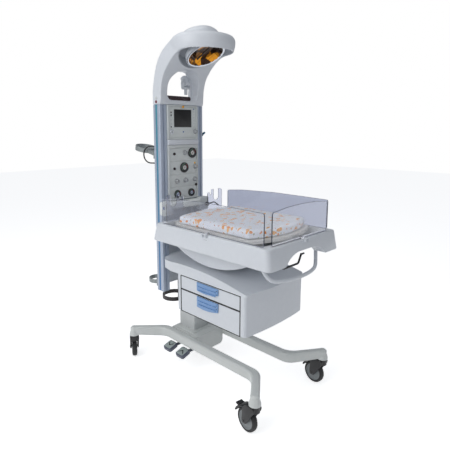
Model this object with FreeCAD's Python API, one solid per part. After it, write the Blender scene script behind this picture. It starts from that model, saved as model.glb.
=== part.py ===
import FreeCAD, Part
import math
import os

# Infant radiant warmer, millimetres.
# X runs across the bed, +Y points to the mast at the head end, Z is up.
# The near side in the comments is -X. The finished set is moved so that the
# origin lies in the middle of the footprint at floor level.

V = FreeCAD.Vector
X_AXIS, Y_AXIS, Z_AXIS = V(1, 0, 0), V(0, 1, 0), V(0, 0, 1)

# Clearances
fit = 0.05
seat = 0.3
gap = 2.0

# Casters
caster_x = 300.0
caster_y = 504.0
wheel_r = 62.5
wheel_w = 32.0
trail = 52.0
fork_w = 56.0
fork_top = 167.7
fork_neck = 26.0
housing_h = 26.0
stem_r = 11.0
stem_h = 42.0
axle_r = 6.0
swivel = {"fl": -8.0, "fr": -6.0, "rl": -30.0, "rr": 28.0}

# Base
leg_x = 139.0
leg_bend_y = 377.0
leg_w = 46.0
leg_bottom = 157.0
leg_top = 216.0
arm_rise = 20.0
socket_r = 31.0
hub_foot = 118.0
hub_head = 345.0
hub_deep = 104.0
hub_top = leg_top + 3.0
pedal_x = -78.0
pedal_z = 118.0
pedal_y = {"pedal_down": 290.0, "pedal_up": 172.0}
pedal_reach = 98.0
pedal_w = 62.0
pedal_lean = 12.0

# Lift column
column_x = 62.0
column_y0 = 195.0
column_y1 = 335.0
column_top = 590.0
column_wall = 5.0
lift = 300.0

# Chassis and cabinet
cabinet_x = 246.0
cabinet_foot = -402.0
cabinet_head = 120.0
cabinet_bottom = 444.0
chassis_bottom = cabinet_bottom + 212.3
chassis_head = 354.7
chassis_rim = chassis_bottom + 35.7
beam_top = chassis_rim - 2.0
drawer_foot = -353.0
drawer_head = 94.0
drawer_gap = 5.0
shelf_z0 = chassis_bottom - 83.8
shelf_z1 = shelf_z0 + 4.0
front_t = 10.0
pull_y0 = -205.0
pull_y1 = -45.0

# Mast
rail_in = 121.0
rail_out = 172.0
rail_y0 = chassis_head + seat
rail_depth = 66.0
rail_y1 = rail_y0 + rail_depth
rail_bottom = chassis_rim - 232.0
gas_bottom = rail_bottom + 575.0
gas_height = 370.0
display_bottom = gas_bottom + gas_height
display_height = 204.7
rail_top = display_bottom + display_height
panel_y = rail_y0 + 1.0
panel_depth = 28.5
panel_back = panel_y + panel_depth
spine_back = rail_y1 + 5.0
knob_shaft_r = 4.0

# Head
arch_bottom = rail_top + seat
hood_y = 170.0
hood_rise = 283.0
hood_bottom = arch_bottom + hood_rise
hood_height = 85.0
hood_top = hood_bottom + hood_height
crown_height = 54.0
hood_out = 187.0
hood_wall = 15.0
recess_top = hood_top - 16.0
dish_tilt = 24.0
dish_z = hood_bottom - 7.0

# Bed
tray_x = 291.0
tray_foot = -555.0
tray_head = 262.0
tray_bottom = beam_top + 155.0
tray_rim = tray_bottom + 92.0
floor_z = tray_bottom + 31.0
rim_w = 34.0
panel_t = 5.0
panel_top = tray_rim + 159.0
tilt_y = -100.0
tilt_z = beam_top + 110.0
trunnion_r = 12.0
mattress_l = 648.0
mattress_w = 488.0
mattress_foot = -470.0
platform_z0 = floor_z + 52.0
platform_z1 = platform_z0 + 17.0
mattress_top = platform_z1 + 45.0
hinge_out = 11.0
hinge_z = tray_rim + 7.0
pin_r = 3.0


def block(x0, x1, y0, y1, z0, z1):
    return Part.makeBox(x1 - x0, y1 - y0, z1 - z0, V(x0, y0, z0))


def rod(x, y, z, radius, length, axis):
    return Part.makeCylinder(radius, length, V(x, y, z), axis)


def face(points, radii, plane="xy", level=0.0):
    """Flat face with rounded corners. Points are in the plane's two axes."""
    place = {
        "xy": lambda a, b: V(a, b, level),
        "xz": lambda a, b: V(a, level, b),
        "yz": lambda a, b: V(level, a, b),
    }[plane]
    corners = [V(a, b, 0) for a, b in points]
    count = len(corners)
    if not isinstance(radii, (list, tuple)):
        radii = [radii] * count
    starts, ends, arcs = [], [], []
    for i in range(count):
        here, before, after = corners[i], corners[i - 1], corners[(i + 1) % count]
        u = (before - here).normalize()
        w = (after - here).normalize()
        half = u.getAngle(w) / 2
        r = radii[i]
        if r <= 0 or abs(half - math.pi / 2) < 1e-6:
            starts.append(here)
            ends.append(here)
            arcs.append(None)
            continue
        run = r / math.tan(half)
        centre = here + (u + w).normalize() * (r / math.sin(half))
        starts.append(here + u * run)
        ends.append(here + w * run)
        arcs.append(centre + (here - centre).normalize() * r)
    edges = []
    for i in range(count):
        nxt = (i + 1) % count
        if arcs[i] is not None:
            p, q, s = starts[i], arcs[i], ends[i]
            edges.append(Part.Arc(place(p.x, p.y), place(q.x, q.y), place(s.x, s.y)).toShape())
        a, b = ends[i], starts[nxt]
        if (a - b).Length > 1e-6:
            edges.append(Part.makeLine(place(a.x, a.y), place(b.x, b.y)))
    return Part.Face(Part.Wire(edges))


def prism(points, radii, plane, lo, hi):
    normal = {"xy": Z_AXIS, "xz": Y_AXIS, "yz": X_AXIS}[plane]
    return face(points, radii, plane, lo).extrude(normal * (hi - lo))


def round_block(x0, x1, y0, y1, z0, z1, r):
    return prism([(x0, y0), (x1, y0), (x1, y1), (x0, y1)], r, "xy", z0, z1)


def tube(points, radius, bend):
    """Round bar along a path of straight runs with rounded corners."""
    pts = [V(*p) for p in points]
    edges = []
    last = pts[0]
    for i in range(1, len(pts) - 1):
        u = (pts[i - 1] - pts[i]).normalize()
        w = (pts[i + 1] - pts[i]).normalize()
        half = u.getAngle(w) / 2
        run = bend / math.tan(half)
        centre = pts[i] + (u + w).normalize() * (bend / math.sin(half))
        a = pts[i] + u * run
        b = pts[i] + w * run
        mid = centre + (pts[i] - centre).normalize() * bend
        edges.append(Part.makeLine(last, a))
        edges.append(Part.Arc(a, mid, b).toShape())
        last = b
    edges.append(Part.makeLine(last, pts[-1]))
    path = Part.Wire(edges)
    ring = Part.Wire(Part.makeCircle(radius, pts[0], pts[1] - pts[0]))
    return path.makePipeShell([ring], True, True)


def offset_path(points, d):
    """Points moved sideways by d, with mitred corners."""
    out = []
    for i, p in enumerate(points):
        dirs = []
        if i > 0:
            dirs.append((V(*p, 0) - V(*points[i - 1], 0)).normalize())
        if i < len(points) - 1:
            dirs.append((V(*points[i + 1], 0) - V(*p, 0)).normalize())
        normals = [V(-t.y, t.x, 0) for t in dirs]
        n = normals[0] + normals[-1]
        n.normalize()
        reach = d / n.dot(normals[0])
        out.append((p[0] + n.x * reach, p[1] + n.y * reach))
    return out


def soften(shape, radius, pick):
    edges = [e for e in shape.Edges if pick(e)]
    return shape.makeFillet(radius, edges)


def level_edge(z):
    return lambda e: abs(e.BoundBox.ZMin - z) < 0.01 and abs(e.BoundBox.ZMax - z) < 0.01


nodes = {}


# Base: two legs, each straight beside the column and bent outward to the casters.
def leg(side):
    line = [(side * caster_x, caster_y), (side * leg_x, leg_bend_y),
            (side * leg_x, -leg_bend_y), (side * caster_x, -caster_y)]
    outer = offset_path(line, leg_w / 2)
    inner = offset_path(line, -leg_w / 2)
    outline = outer + inner[::-1]
    radii = [0, 90, 90, 0, 0, 90, 90, 0]
    beam = prism(outline, radii, "xy", leg_bottom, leg_top + arm_rise)
    end, bend = caster_y + 40, leg_bend_y + 20
    profile = [(-end, leg_bottom + arm_rise + 2), (-bend, leg_bottom), (bend, leg_bottom),
               (end, leg_bottom + arm_rise + 2), (end, leg_top + arm_rise / 2), (bend, leg_top),
               (-bend, leg_top), (-end, leg_top + arm_rise / 2)]
    beam = beam.common(prism(profile, [0, 300, 300, 0, 0, 300, 300, 0], "yz", -caster_x - leg_w, caster_x + leg_w))
    beam = soften(beam, 12, lambda e: e.BoundBox.ZLength < e.BoundBox.YLength
                  and abs(abs(e.BoundBox.Center.y) - caster_y) > leg_w / 2)
    for y in (caster_y, -caster_y):
        low, high = fork_top + seat, leg_top + 7
        cup = [(0, low), (socket_r, low), (socket_r, low + 11), (leg_w / 2 + 1, low + 32),
               (leg_w / 2 + 1, high - 8), (leg_w / 2 - 7, high), (0, high)]
        line = [Part.makeLine(V(*cup[i], 0), V(*cup[(i + 1) % len(cup)], 0)) for i in range(len(cup))]
        socket = Part.Face(Part.Wire(line)).revolve(V(0, 0, 0), Y_AXIS, 360)
        socket.rotate(V(0, 0, 0), X_AXIS, 90)
        socket.translate(V(side * caster_x, y, 0))
        beam = beam.fuse(socket)
    for y in (caster_y, -caster_y):
        beam = beam.cut(rod(side * caster_x, y, fork_top - 1, stem_r + fit, stem_h + 3, Z_AXIS))
    return beam


nodes["left_leg"] = leg(-1)
nodes["right_leg"] = leg(1)

# Hub: deep cross beam between the legs, hollow below, with a flange under the column.
hub_x = leg_x - leg_w / 2 - seat
hub_wall = 8.0
hub_left = pedal_x + 30.0
hub = block(-hub_x, hub_x, hub_foot, hub_head, leg_bottom, leg_top)
deep = prism([(hub_left, hub_deep), (hub_x, hub_deep), (hub_x, leg_top - 1), (hub_left, leg_top - 1)],
             [0, 26, 0, 0], "xz", hub_foot, hub_head)
hub = hub.fuse(deep)
hub = hub.cut(block(-hub_x + 24, hub_left - 1, hub_foot + 20, hub_head - 12, leg_bottom - 1, leg_top - 8))
hub = hub.cut(block(hub_left + hub_wall, hub_x - hub_wall, hub_foot + hub_wall, hub_head - 12,
                    hub_deep - 1, leg_top - 8))
hub = hub.fuse(round_block(-92, 92, 172, hub_head - 2, leg_top, hub_top, 14))
for y in pedal_y.values():
    ear = block(pedal_x - 14, pedal_x + 14, y - 38, y + 38, pedal_z - 14, leg_top - 8)
    hub = hub.fuse(ear)
    hub = hub.cut(block(pedal_x - 15, pedal_x + 15, y - 30.3, y + 30.3, pedal_z - 15, leg_bottom - 8))
    hub = hub.fuse(rod(pedal_x, y - 31, pedal_z, 5, 62, Y_AXIS))
nodes["base_hub"] = hub

# Foot pedals: barrel on the hub's pin, arm under the leg, leaning tread pad outside it.
for name, y in pedal_y.items():
    half = pedal_w / 2
    pad = round_block(-half, half, -half, half, -12, 14, 14)
    pad = soften(pad, 4, level_edge(14))
    pad = pad.cut(block(-half + 4, half - 4, -half + 4, half - 4, -13, -4))
    pad.rotate(V(0, 0, 0), Y_AXIS, -pedal_lean)
    pad.translate(V(pedal_x - pedal_reach, y, pedal_z + 2))
    arm = block(pedal_x - pedal_reach, pedal_x, y - 18, y + 18, pedal_z - 8, pedal_z)
    barrel = rod(pedal_x, y - 29.5, pedal_z, 9, 59, Y_AXIS)
    pedal = pad.fuse(arm).fuse(barrel).cut(rod(pedal_x, y - 40, pedal_z, 5 + fit, 80, Y_AXIS))
    nodes[name] = pedal

# Outer column on the hub, inner column inside it under the chassis.
outer = round_block(-column_x, column_x, column_y0, column_y1, hub_top + seat, column_top, 10)
bore_x = column_x - column_wall
hole = round_block(-bore_x, bore_x, column_y0 + column_wall, column_y1 - column_wall,
                   hub_top + seat + 6, column_top + 1, 5)
nodes["column_outer"] = outer.cut(hole)
slide_gap = 0.1
in_x = bore_x - slide_gap
in_y0 = column_y0 + column_wall + slide_gap
in_y1 = column_y1 - column_wall - slide_gap
inner = round_block(-in_x, in_x, in_y0, in_y1, hub_top + 12, chassis_bottom - seat, 5)
core = round_block(-in_x + 5, in_x - 5, in_y0 + 5, in_y1 - 5, hub_top + 18, chassis_bottom - 8, 4)
drain = rod(0, (in_y0 + in_y1) / 2, hub_top + 11, 12, 10, Z_AXIS)
nodes["column_inner"] = inner.cut(core).cut(drain)


# Casters, made round the stem with the wheel trailing toward +Y, then swivelled.
def caster(tag, x, y, turn, braked):
    half = fork_w / 2
    foot = trail / 2 + 24
    cheek = prism([(-fork_neck, fork_top), (-fork_neck, fork_top - housing_h), (trail - 20, wheel_r - 19),
                   (trail + 20, wheel_r - 19), (trail + 26, wheel_r + 12), (foot + 12, wheel_r + 68),
                   (fork_neck, fork_top)], [4, 10, 18, 18, 60, 16, 10], "yz", -half, half)
    neck = rod(0, 0, fork_top - housing_h, fork_neck, housing_h, Z_AXIS)
    fork = cheek.fuse(neck)
    brake_y, brake_z = trail + 46, wheel_r + 55
    if braked:
        ear = prism([(trail + 10, wheel_r + 66), (brake_y + 8, brake_z + 6),
                     (brake_y + 8, brake_z - 8), (trail + 26, wheel_r + 40)], [0, 4, 4, 0], "yz", -half, half)
        fork = fork.fuse(ear)
    fork = fork.cut(rod(-wheel_w / 2 - 1.5, trail, wheel_r, wheel_r + 3, wheel_w + 3, X_AXIS))
    if braked:
        fork = fork.cut(block(-20, 20, brake_y - 9.5, brake_y + 20, brake_z - 14, brake_z + 30))
        fork = fork.cut(rod(-20, brake_y, brake_z, 9.5, 40, X_AXIS))
        fork = fork.fuse(rod(-21, brake_y, brake_z, 3.5, 42, X_AXIS))
    fork = fork.fuse(rod(-half, trail, wheel_r, axle_r, fork_w, X_AXIS))
    fork = fork.fuse(rod(0, 0, fork_top - 4, stem_r, stem_h + 4, Z_AXIS))
    wheel = rod(-wheel_w / 2, trail, wheel_r, wheel_r, wheel_w, X_AXIS)
    wheel = soften(wheel, 9, lambda e: e.BoundBox.ZMax > wheel_r * 2 - 1 and e.BoundBox.XLength < 0.1)
    dish = rod(0, trail, wheel_r, wheel_r - 17, 4, X_AXIS)
    wheel = wheel.cut(dish.translated(V(wheel_w / 2 - 3.5, 0, 0)))
    wheel = wheel.cut(dish.translated(V(-wheel_w / 2 - 0.5, 0, 0)))
    wheel = wheel.fuse(rod(-wheel_w / 2, trail, wheel_r, 15, wheel_w, X_AXIS))
    wheel = wheel.cut(rod(-wheel_w, trail, wheel_r, axle_r + fit, wheel_w * 2, X_AXIS))
    made = {"caster_fork_" + tag: fork, "caster_wheel_" + tag: wheel}
    if braked:
        tread = prism([(brake_y, brake_z - 3), (brake_y + 24, brake_z + 1), (brake_y + 24, brake_z + 8),
                       (brake_y, brake_z + 5)], [0, 3, 3, 0], "yz", -18.5, 18.5)
        barrel = rod(-18.5, brake_y, brake_z, 7, 37, X_AXIS)
        pedal = tread.fuse(barrel).cut(rod(-30, brake_y, brake_z, 3.5 + fit, 60, X_AXIS))
        made["caster_brake_" + tag] = pedal
    for name, shape in made.items():
        shape = shape.copy()
        shape.rotate(V(0, 0, 0), Z_AXIS, turn)
        shape.translate(V(x, y, 0))
        nodes[name] = shape


caster("fl", -caster_x, -caster_y, swivel["fl"], True)
caster("fr", caster_x, -caster_y, swivel["fr"], True)
caster("rl", -caster_x, caster_y, swivel["rl"], False)
caster("rr", caster_x, caster_y, swivel["rr"], False)


# Plan of the cabinet and chassis: bowed foot face, straight sides.
def bowed_plan(x_half, foot, bow, head_points, z0, z1, round_r=18.0):
    corner = foot + bow
    arc = Part.Arc(V(-x_half, corner, z0), V(0, foot, z0), V(x_half, corner, z0)).toShape()
    pts = [(x_half, corner)] + head_points + [(-x_half, corner)]
    lines = [Part.makeLine(V(*pts[i], z0), V(*pts[i + 1], z0)) for i in range(len(pts) - 1)]
    solid = Part.Face(Part.Wire([arc] + lines)).extrude(V(0, 0, z1 - z0))
    return soften(solid, round_r, lambda e: e.BoundBox.ZLength > z1 - z0 - 1 and e.BoundBox.YMax < corner + 1)


# Chassis: wide cover whose top falls toward the foot, rounded in plan at the head end.
half_shoulder = [(cabinet_x, chassis_head - 165), (228, chassis_head - 93), (182, chassis_head - 33),
                 (rail_in - 0.4, chassis_head)]
shoulder = half_shoulder + [(-x, y) for x, y in half_shoulder[::-1]]
foot_bow = 16.0
plan = bowed_plan(cabinet_x, cabinet_foot - 6, foot_bow, shoulder, chassis_bottom, 760)
low_y, high_y = cabinet_foot - 8, chassis_head + 1
top_line = Part.Arc(V(-300, low_y, 664), V(-300, -40, 716), V(-300, high_y, chassis_rim))
side_face = Part.Face(Part.Wire([
    top_line.toShape(),
    Part.makeLine(V(-300, high_y, chassis_rim), V(-300, high_y, chassis_bottom)),
    Part.makeLine(V(-300, high_y, chassis_bottom), V(-300, low_y, chassis_bottom)),
    Part.makeLine(V(-300, low_y, chassis_bottom), V(-300, low_y, 664))]))
chassis = plan.common(side_face.extrude(V(600, 0, 0)))
wall = 6.0
pocket_side = side_face.extrude(V(600, 0, 0)).translated(V(0, 0, -wall))
pocket_plan = bowed_plan(cabinet_x - wall, cabinet_foot + wall, foot_bow,
                         [(cabinet_x - wall, chassis_head - 167), (222, chassis_head - 97),
                          (176, chassis_head - 41), (-176, chassis_head - 41), (-222, chassis_head - 97),
                          (-cabinet_x + wall, chassis_head - 167)], chassis_bottom - 1, 760)
pocket = pocket_plan.common(pocket_side)
beam_end = chassis_head - 15
spine_beam = block(-80, 80, -150, beam_end, chassis_bottom - 2, 790)
pocket = pocket.cut(spine_beam)
chassis = chassis.cut(pocket)
chassis = chassis.fuse(block(-rail_in + 0.4, rail_in - 0.4, beam_end, panel_back - seat,
                             chassis_bottom, beam_top))
tower = prism([(tilt_y - 40, 700), (tilt_y + 40, 700), (tilt_y + 20, tilt_z + 16), (tilt_y - 20, tilt_z + 16)],
              [0, 0, 14, 14], "yz", -58, 58)
chassis = chassis.fuse(tower)
chassis = chassis.fuse(rod(-96, tilt_y, tilt_z, trunnion_r, 192, X_AXIS))
nodes["chassis"] = chassis

# Cabinet: bowed shell open on the near side, with a shelf between the two drawers.
cab = bowed_plan(cabinet_x, cabinet_foot, foot_bow, [(cabinet_x, cabinet_head), (-cabinet_x, cabinet_head)],
                 cabinet_bottom, chassis_bottom - seat)
near = -cabinet_x - 1
open_y0, open_y1 = drawer_foot - drawer_gap, drawer_head + drawer_gap
room_x = cabinet_x - wall
cab = cab.cut(block(near, room_x, open_y0, open_y1, cabinet_bottom + 6, shelf_z0))
cab = cab.cut(block(near, room_x, open_y0, open_y1, shelf_z1, chassis_bottom - 3))
cab = cab.cut(block(near, -cabinet_x + front_t + gap, open_y0, open_y1, cabinet_bottom - 1, chassis_bottom))
foot_room = bowed_plan(cabinet_x - 8, cabinet_foot + 5, foot_bow,
                       [(cabinet_x - 8, open_y0 - 5), (-cabinet_x + 8, open_y0 - 5)],
                       cabinet_bottom - 1, chassis_bottom - 8)
nodes["cabinet"] = cab.cut(foot_room)


# Drawers: front plate with a box behind it, open at the top.
def drawer(front_z0, front_z1, box_z0, box_z1):
    plate = block(-cabinet_x, -cabinet_x + front_t, drawer_foot, drawer_head, front_z0, front_z1)
    plate = soften(plate, 3, lambda e: e.BoundBox.XMax < -cabinet_x + 0.01)
    x0, x1 = -cabinet_x + front_t - 1, room_x - gap
    y0, y1 = open_y0 + gap, open_y1 - gap
    box = block(x0, x1, y0, y1, box_z0, box_z1)
    box = box.cut(block(x0 + 4, x1 - 3, y0 + 3, y1 - 3, box_z0 + 3, box_z1 + 1))
    return plate.fuse(box)


nodes["drawer_upper"] = drawer(shelf_z1 + 1.5, chassis_bottom - drawer_gap, shelf_z1 + seat, 640)
nodes["drawer_lower"] = drawer(cabinet_bottom, shelf_z0 - 1.5, cabinet_bottom + 6 + seat, 562)


# Pulls: blue plates with a bowed lower edge on the drawer fronts.
def pull(top, depth):
    x0, x1 = -cabinet_x - 15, -cabinet_x - 0.1
    arc = Part.Arc(V(x0, pull_y0, top - depth + 12), V(x0, -100, top - depth), V(x0, pull_y1, top - depth + 8))
    body = Part.Face(Part.Wire([
        arc.toShape(),
        Part.makeLine(V(x0, pull_y1, top - depth + 8), V(x0, pull_y1, top)),
        Part.makeLine(V(x0, pull_y1, top), V(x0, pull_y0, top)),
        Part.makeLine(V(x0, pull_y0, top), V(x0, pull_y0, top - depth + 12))])).extrude(V(x1 - x0, 0, 0))
    body = body.cut(block(x0 + 5, x1 - 4, pull_y0 + 4, pull_y1 - 4, top - depth - 2, top - 26))
    return body


nodes["pull_upper"] = pull(chassis_bottom - drawer_gap - 1, 52)
nodes["pull_lower"] = pull(shelf_z0 - 2.5, 64)


# Mast rails: hollow aluminium posts, grooved on the front, outer and rear faces.
def rail(side):
    mid_x = (rail_in + rail_out) / 2
    mid_y = (rail_y0 + rail_y1) / 2
    post = prism([(rail_in, rail_y0), (rail_out, rail_y0), (rail_out, rail_y1), (rail_in, rail_y1)],
                 [2, 8, 8, 2], "xy", rail_bottom, rail_top)
    post = post.cut(block(mid_x - 5, mid_x + 5, rail_y0 - 1, rail_y0 + 6, rail_bottom - 1, rail_top + 1))
    post = post.cut(block(mid_x - 5, mid_x + 5, rail_y1 - 6, rail_y1 + 1, rail_bottom - 1, rail_top + 1))
    post = post.cut(block(rail_out - 3, rail_out + 1, mid_y - 9, mid_y + 9, rail_bottom - 1, rail_top + 1))
    post = post.cut(block(rail_in + 5, rail_out - 8, rail_y0 + 10, rail_y1 - 10, rail_bottom - 1, rail_top + 1))
    return post if side > 0 else post.mirror(V(0, 0, 0), X_AXIS)


nodes["mast_rail_left"] = rail(-1)
nodes["mast_rail_right"] = rail(1)

# Spine: channel that closes the mast at the back.
spine_x = rail_in - seat
spine_bottom = rail_bottom + 20
spine = block(-spine_x, spine_x, panel_back + seat, spine_back, spine_bottom, rail_top)
spine = spine.cut(block(-spine_x + 6, spine_x - 6, panel_back, spine_back - 5, spine_bottom - 1, rail_top + 1))
spine = soften(spine, 4, lambda e: e.BoundBox.YMin > spine_back - 0.1 and e.BoundBox.ZLength > 500)
nodes["mast_spine"] = spine

# Display unit: sloped front under a brow, with a screen recess and a knob bore.
unit_x = rail_in - seat - 0.3
brow_y = panel_y - 20.0
display = prism([(panel_back, display_bottom), (panel_y, display_bottom), (panel_y - 4, display_bottom + 183),
                 (brow_y, display_bottom + 195), (brow_y, rail_top - 0.3), (panel_back, rail_top - 0.3)],
                [0, 3, 6, 3, 3, 0], "yz", -unit_x, unit_x)
display = display.cut(block(-72, 72, brow_y - 6, panel_y - 1.5, display_bottom + 73, display_bottom + 181))
socket_x, socket_z = -88.0, display_bottom + 47
display = display.fuse(rod(socket_x, panel_y - 4, socket_z, 11, 8, Y_AXIS))
display = display.cut(rod(socket_x, panel_y - 16, socket_z, 7, 26, Y_AXIS))
knob_x, knob_z = 98.0, display_bottom + 48
display = display.cut(rod(knob_x, panel_y - 16, knob_z, knob_shaft_r + fit, 34, Y_AXIS))
nodes["display_unit"] = display


# Turning knobs with a stepped cap and a shaft toward +Y.
def knob(x, z, y_face, radius, depth, shaft):
    cap = rod(x, y_face - depth - 0.4, z, radius, depth, Y_AXIS)
    cap = soften(cap, 2, lambda e: e.BoundBox.YMax < y_face - depth + 0.1)
    skirt = rod(x, y_face - 3.4, z, radius + 2.5, 3, Y_AXIS)
    return cap.fuse(skirt).fuse(rod(x, y_face - 1, z, knob_shaft_r, shaft, Y_AXIS))


nodes["display_knob"] = knob(knob_x, knob_z, panel_y - 1.5, 11, 13, 16)

# Gas panel with a white bar as its brow, gauges and control knobs.
gas = block(-unit_x, unit_x, panel_y, panel_back, gas_bottom, display_bottom - 0.4)
bar_y0 = panel_y - 12.0
bar = prism([(panel_y + 1, display_bottom - 34), (bar_y0, display_bottom - 32), (bar_y0, display_bottom - 5),
             (panel_y + 1, display_bottom - 1)], [0, 5, 5, 0], "yz", -unit_x, unit_x)
gas = gas.fuse(bar)
for z in (gas_bottom + 77, gas_bottom + 155, gas_bottom + 239):
    gas = gas.cut(block(-unit_x - 1, unit_x + 1, panel_y - 1, panel_y + 2, z - 1, z + 1))
gas_knobs = {
    "knob_pressure": (11.0, gas_bottom + 289), "knob_oxygen": (96.0, gas_bottom + 199),
    "knob_suction": (-57.0, gas_bottom + 116), "knob_flow": (14.0, gas_bottom + 117),
    "knob_blender": (92.0, gas_bottom + 119)}
for x, z in gas_knobs.values():
    gas = gas.cut(rod(x, panel_y - 2, z, knob_shaft_r + fit, 18, Y_AXIS))
nodes["gas_panel"] = gas
for name, (x, z) in gas_knobs.items():
    nodes[name] = knob(x, z, panel_y, 12, 16, 14)
gauges = {
    "gauge_airway": (72.0, gas_bottom + 286, 32.0), "gauge_suction": (5.0, gas_bottom + 197, 32.0),
    "gauge_oxygen": (-52.0, gas_bottom + 35, 25.0), "gauge_air": (62.0, gas_bottom + 35, 25.0)}
for name, (x, z, r) in gauges.items():
    case = rod(x, panel_y - 20.3, z, r, 20, Y_AXIS)
    case = soften(case, 2.5, lambda e: e.BoundBox.YMax < panel_y - 20)
    lens = rod(x, panel_y - 21, z, r - 5, 3, Y_AXIS)
    nodes[name] = case.cut(lens)

# Crossbar clamped on both rails under the gas panel, with a swinging lever.
bar_y = rail_y0 - seat
bar_z0, bar_z1 = gas_bottom - 53, gas_bottom - 6
bar_front = bar_y - 37
crossbar = prism([(bar_y, bar_z0), (bar_front + 8, bar_z0), (bar_front, bar_z0 + 10), (bar_front, bar_z1 - 11),
                  (bar_front + 8, bar_z1), (bar_y, bar_z1)], [0, 4, 4, 4, 4, 0], "yz", -rail_in, rail_in)
for side in (-1, 1):
    inner_x, outer_x = rail_in - 8, rail_out + 14
    x0, x1 = (inner_x, outer_x) if side > 0 else (-outer_x, -inner_x)
    clamp = prism([(x0, bar_z0 - 32), (x1, bar_z0 - 32), (x1, gas_bottom - 1), (x0, gas_bottom - 1)], 12,
                  "xz", bar_front + 4, bar_y)
    crossbar = crossbar.fuse(clamp)
lever_x, lever_z = 168.0, bar_z0 + 4
crossbar = crossbar.cut(rod(lever_x, bar_front + 2, lever_z, knob_shaft_r + fit, 24, Y_AXIS))
nodes["crossbar"] = crossbar
hub_y = bar_front + 4 - 0.4
lever = rod(lever_x, hub_y - 18, lever_z, 12, 18, Y_AXIS)
lever = lever.fuse(rod(lever_x, hub_y - 1, lever_z, knob_shaft_r, 18, Y_AXIS))
lever = lever.fuse(tube([(lever_x, hub_y - 9, lever_z), (lever_x + 62, hub_y - 9, lever_z + 6),
                         (lever_x + 104, hub_y - 9, lever_z - 22)], 4, 30))
nodes["crossbar_lever"] = lever

# Small release lever on the outer side of the right rail.
toggle_y, toggle_z = rail_y0 + 17, display_bottom + 27
toggle = rod(rail_out + 0.2, toggle_y, toggle_z, 9, 12, X_AXIS)
toggle = toggle.fuse(prism([(toggle_y - 5, toggle_z - 4), (toggle_y - 30, toggle_z + 10),
                            (toggle_y - 26, toggle_z + 20), (toggle_y + 5, toggle_z + 4)], [0, 4, 4, 0],
                           "yz", rail_out + 4, rail_out + 11))
nodes["rail_toggle"] = toggle


# Bottle rings at the back of the mast, each on a short bracket.
def band(x, y, z, radius, height, foot_x, foot_y):
    ring = rod(x, y, z, radius, height, Z_AXIS).cut(rod(x, y, z - 1, radius - 5, height + 2, Z_AXIS))
    stalk = block(foot_x - 12, foot_x + 12, foot_y, y, z + 3, z + height - 3)
    stalk = stalk.cut(rod(x, y, z - 1, radius - 2, height + 2, Z_AXIS))
    return ring.fuse(stalk)


ring_tilt = 13.0
ring_up_z, ring_up_r, ring_up_h = gas_bottom + 265, 66.0, 28.0
foot_x = -146.0
ring_up = band(-125, rail_y1 + 149, ring_up_z, ring_up_r, ring_up_h, foot_x, rail_y1 + 4)
ring_up.rotate(V(foot_x, rail_y1, ring_up_z + ring_up_h / 2), X_AXIS, ring_tilt)
ring_up = ring_up.fuse(block(foot_x - 20, foot_x + 20, rail_y1 + seat, rail_y1 + 13, ring_up_z - 10, ring_up_z + 40))
nodes["ring_upper"] = ring_up
ring_low_x, ring_low_z, ring_low_r = -115.0, rail_bottom + 27, 55.0
ring_low = band(ring_low_x, rail_y1 + 69, ring_low_z, ring_low_r, 25, foot_x, rail_y1 + seat)
ring_low = ring_low.fuse(block(foot_x - 20, foot_x + 20, rail_y1 + seat, rail_y1 + 13, ring_low_z - 7,
                               ring_low_z + 43))
nodes["ring_lower"] = ring_low
strap_y = spine_back + seat
ring_foot_x, ring_foot_z, ring_foot_r, ring_foot_h = 30.0, 329.0, 79.0, 26.0
ring_foot_y = strap_y + ring_foot_r - 4
hoop = rod(ring_foot_x, ring_foot_y, ring_foot_z, ring_foot_r, ring_foot_h, Z_AXIS)
hoop = hoop.fuse(block(ring_foot_x - 25, ring_foot_x + 25, strap_y, strap_y + 5, ring_foot_z,
                       spine_bottom + 80))
hoop = hoop.cut(rod(ring_foot_x, ring_foot_y, ring_foot_z - 1, ring_foot_r - 6, ring_foot_h + 2, Z_AXIS))
nodes["ring_foot"] = hoop

# Hose in a loop beside the upper ring, both ends plugged into the left rail's back.
hose_r = 4.0
loop_y, loop_z, loop_r = rail_y1 + 42, ring_up_z + 13, 51.0
hose_pts = [(-150, rail_y1 + seat, loop_z + loop_r), (-150, rail_y1 + 25, loop_z + loop_r)]
for turn, x in ((72, -170), (36, -178), (0, -180), (-36, -178), (-72, -170)):
    reach = loop_r / math.cos(math.radians(18))
    a = math.radians(turn)
    hose_pts.append((x, loop_y + reach * math.cos(a), loop_z + reach * math.sin(a)))
hose_pts.append((-150, rail_y1 + 25, loop_z - loop_r))
hose_pts.append((-150, rail_y1 + seat, loop_z - loop_r))


def hose_tube(points, radius):
    """Round hose whose arcs are as large as the runs beside them allow."""
    pts = [V(*p) for p in points]
    edges, radii = [], []
    last = pts[0]
    for i in range(1, len(pts) - 1):
        u, w = pts[i - 1] - pts[i], pts[i + 1] - pts[i]
        short = min(u.Length, w.Length)
        u.normalize()
        w.normalize()
        half_turn = (math.pi - u.getAngle(w)) / 2
        bend = 0.45 * short / math.tan(half_turn)
        radii.append(round(bend, 1))
        a, b = pts[i] + u * (0.45 * short), pts[i] + w * (0.45 * short)
        centre = pts[i] + (u + w).normalize() * (bend / math.cos(half_turn))
        mid = centre + (pts[i] - centre).normalize() * bend
        edges.append(Part.LineSegment(last, a).toShape())
        edges.append(Part.Arc(a, mid, b).toShape())
        last = b
    edges.append(Part.LineSegment(last, pts[-1]).toShape())
    path = Part.Wire(edges)
    ring = Part.Wire(Part.makeCircle(radius, pts[0], pts[1] - pts[0]))
    made = path.makePipeShell([ring], True, True)
    print("hose radii", radii, "volume ratio", round(made.Volume / (math.pi * radius ** 2 * path.Length), 4))
    return made


nodes["hose_loop"] = hose_tube(hose_pts, hose_r)

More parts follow.
